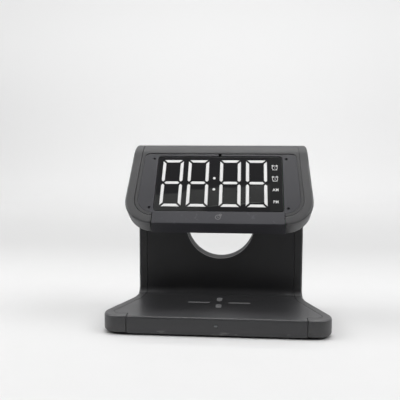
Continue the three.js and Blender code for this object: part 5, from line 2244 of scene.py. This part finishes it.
@dataclass
class Stage:
    """Camera, floor and light, with lengths in metres."""

    eye: Point = (0.016703, -0.381402, 0.121039)
    yaw: float = 4.502
    pitch: float = 5.375
    roll: float = 0.146
    lens: float = 49.488
    sensor: float = 36.0
    near_clip: float = 0.01
    floor_half: float = 4.0
    floor_front: float = -2.5
    floor_depth: float = 0.9
    floor_bend: float = 0.6
    bend_steps: int = 32
    wall_height: float = 4.0
    sky: float = 0.05
    room: float = 0.9
    paper_glow: float = 0.9
    wall_glow: float = 0.56
    lamps: tuple[Softbox, ...] = (
        Softbox("top_softbox", (0.0, 0.3, 1.9), (0.0, 0.03, 0.0), 1.0, 29.5),
        Softbox("left_softbox", (-1.15, -0.1, 1.25), (0.0, 0.0, 0.06), 0.9, 10.5),
        Softbox("right_softbox", (1.15, -0.1, 1.25), (0.0, 0.0, 0.06), 0.9, 11.0),
    )

    def camera(self) -> None:
        """Sets the camera where the photograph was taken from."""
        data = bpy.data.cameras.new("camera")
        data.lens, data.sensor_width, data.clip_start = self.lens, self.sensor, self.near_clip
        camera = bpy.data.objects.new("camera", data)
        turn = (
            Matrix.Rotation(math.radians(self.yaw), 4, "Z")
            @ Matrix.Rotation(math.radians(90 - self.pitch), 4, "X")
            @ Matrix.Rotation(math.radians(self.roll), 4, "Z")
        )
        camera.matrix_world = Matrix.Translation(self.eye) @ turn
        bpy.context.scene.collection.objects.link(camera)
        bpy.context.scene.camera = camera

    def floor(self) -> None:
        """Makes a pale sweep that runs up behind the clock."""
        bm = bmesh.new()
        sides = (-self.floor_half, self.floor_half)
        edge = bm.edges.new([bm.verts.new((x, self.floor_front, 0)) for x in sides])
        edge = draw_edge(bm, edge, [Vector((x, self.floor_depth, 0)) for x in sides])
        centre = Vector((0, self.floor_depth, self.floor_bend))
        made = swing(bm, [*edge.verts, edge], centre, ACROSS, math.pi / 2, self.bend_steps)
        ends = sorted(made[-2:], key=lambda vert: vert.co.x)
        draw_edge(bm, bm.edges.get(ends), [vert.co + self.wall_height * UP for vert in ends])
        face_outwards(bm, lambda normal: normal.z - normal.y)
        mesh = bpy.data.meshes.new("floor_sweep")
        bm.to_mesh(mesh)
        bm.free()
        mesh.shade_smooth()
        mesh.materials.append(self.paper())
        floor = bpy.data.objects.new("floor_sweep", mesh)
        bpy.context.scene.collection.objects.link(floor)

    def paper(self) -> bpy.types.Material:
        """Makes the floor's paper, pale to the camera and dim where the casing mirrors the room.

        Returns:
            The material.
        """
        paper = bpy.data.materials.new("floor_paper")
        paper.use_nodes = True
        graph = Graph(paper.node_tree)
        at = graph.place()
        x, y, z = graph.axes(at, "XYZ")
        behind, high = y.between(-0.14, -0.06), z.between(0.0, 0.55)
        seen = self.seen(graph, behind)
        near = (x * x).between(2.0, 0.8) * y.between(-1.1, -0.42)
        aside = graph.node("ShaderNodeLightPath", None, None, "Is Camera Ray") * (1 - near)
        fibre = graph.mix(grey(0.7), grey(0.72), graph.noise(at, 40.0, 4.0))
        middle = graph.mix(fibre, grey(0.6), y.between(0.08, 0.32))
        far = graph.mix(middle, grey(0.9), y.between(0.25, 1.15))
        pale = graph.mix(far, grey(0.48), high)
        bounce = graph.mix(grey(0.78), grey(0.35), y.between(-0.03, 0.06))
        dim = graph.mix(grey(0.05), bounce, behind)
        glow = aside + seen * high * (1 - aside) * self.wall_glow
        tone = graph.mix(graph.mix(dim, pale, seen), grey(0), aside)
        white = graph.mix(grey(0), grey(1), glow)
        graph.surface(tone, 0.9, specular=0.1, glow=white, glow_strength=self.paper_glow)
        return paper

    def seen(self, graph: Graph, behind: Wire) -> Wire:
        """Share of white that a ray sees.

        Args:
            graph: Nodes of the floor or the world.
            behind: 1 behind the clock and 0 in front, where the room is dim.

        Returns:
            1 for the camera and clear plastic, and for reflections of what is behind.
        """
        camera, glossy, clear = (
            graph.node("ShaderNodeLightPath", None, None, f"Is {kind} Ray")
            for kind in ("Camera", "Glossy", "Transmission")
        )
        return camera + glossy * behind + clear

    def sky_light(self) -> None:
        """Lights the scene evenly; the camera, reflections and clear plastic see a white room."""
        world = bpy.data.worlds.new("studio")
        world.use_nodes = True
        bpy.context.scene.world = world
        graph = Graph(world.node_tree)
        looking = graph.node("ShaderNodeTexCoord", output="Generated")
        (depth,) = graph.axes(looking, "Y")
        behind = depth.between(-0.1, 0.4)
        dim, white = (
            graph.node("ShaderNodeBackground", None, {"Color": grey(1), "Strength": strength})
            for strength in (self.sky, self.room)
        )
        both = graph.node("ShaderNodeMixShader", None, {0: self.seen(graph, behind), 1: dim, 2: white})
        graph.node("ShaderNodeOutputWorld", None, {"Surface": both})

    def build(self) -> None:
        """Sets the stage."""
        bpy.context.scene.view_settings.view_transform = "Standard"
        self.camera()
        self.floor()
        for lamp in self.lamps:
            lamp.hang()
        self.sky_light()
        log.info("stage: camera, floor and lamps")


def main() -> None:
    """Builds the stage and then the clock, piece by piece."""
    logging.basicConfig(level=logging.INFO, format="%(name)s: %(message)s")
    Stage().build()
    casing = (SideTrims(), Shells(), FacePlate(), Display(), PrintedMarks())
    for group in (*casing, Buttons(), Underside(), KeptSolids()):
        group.build()


if __name__ == "__main__":
    main()
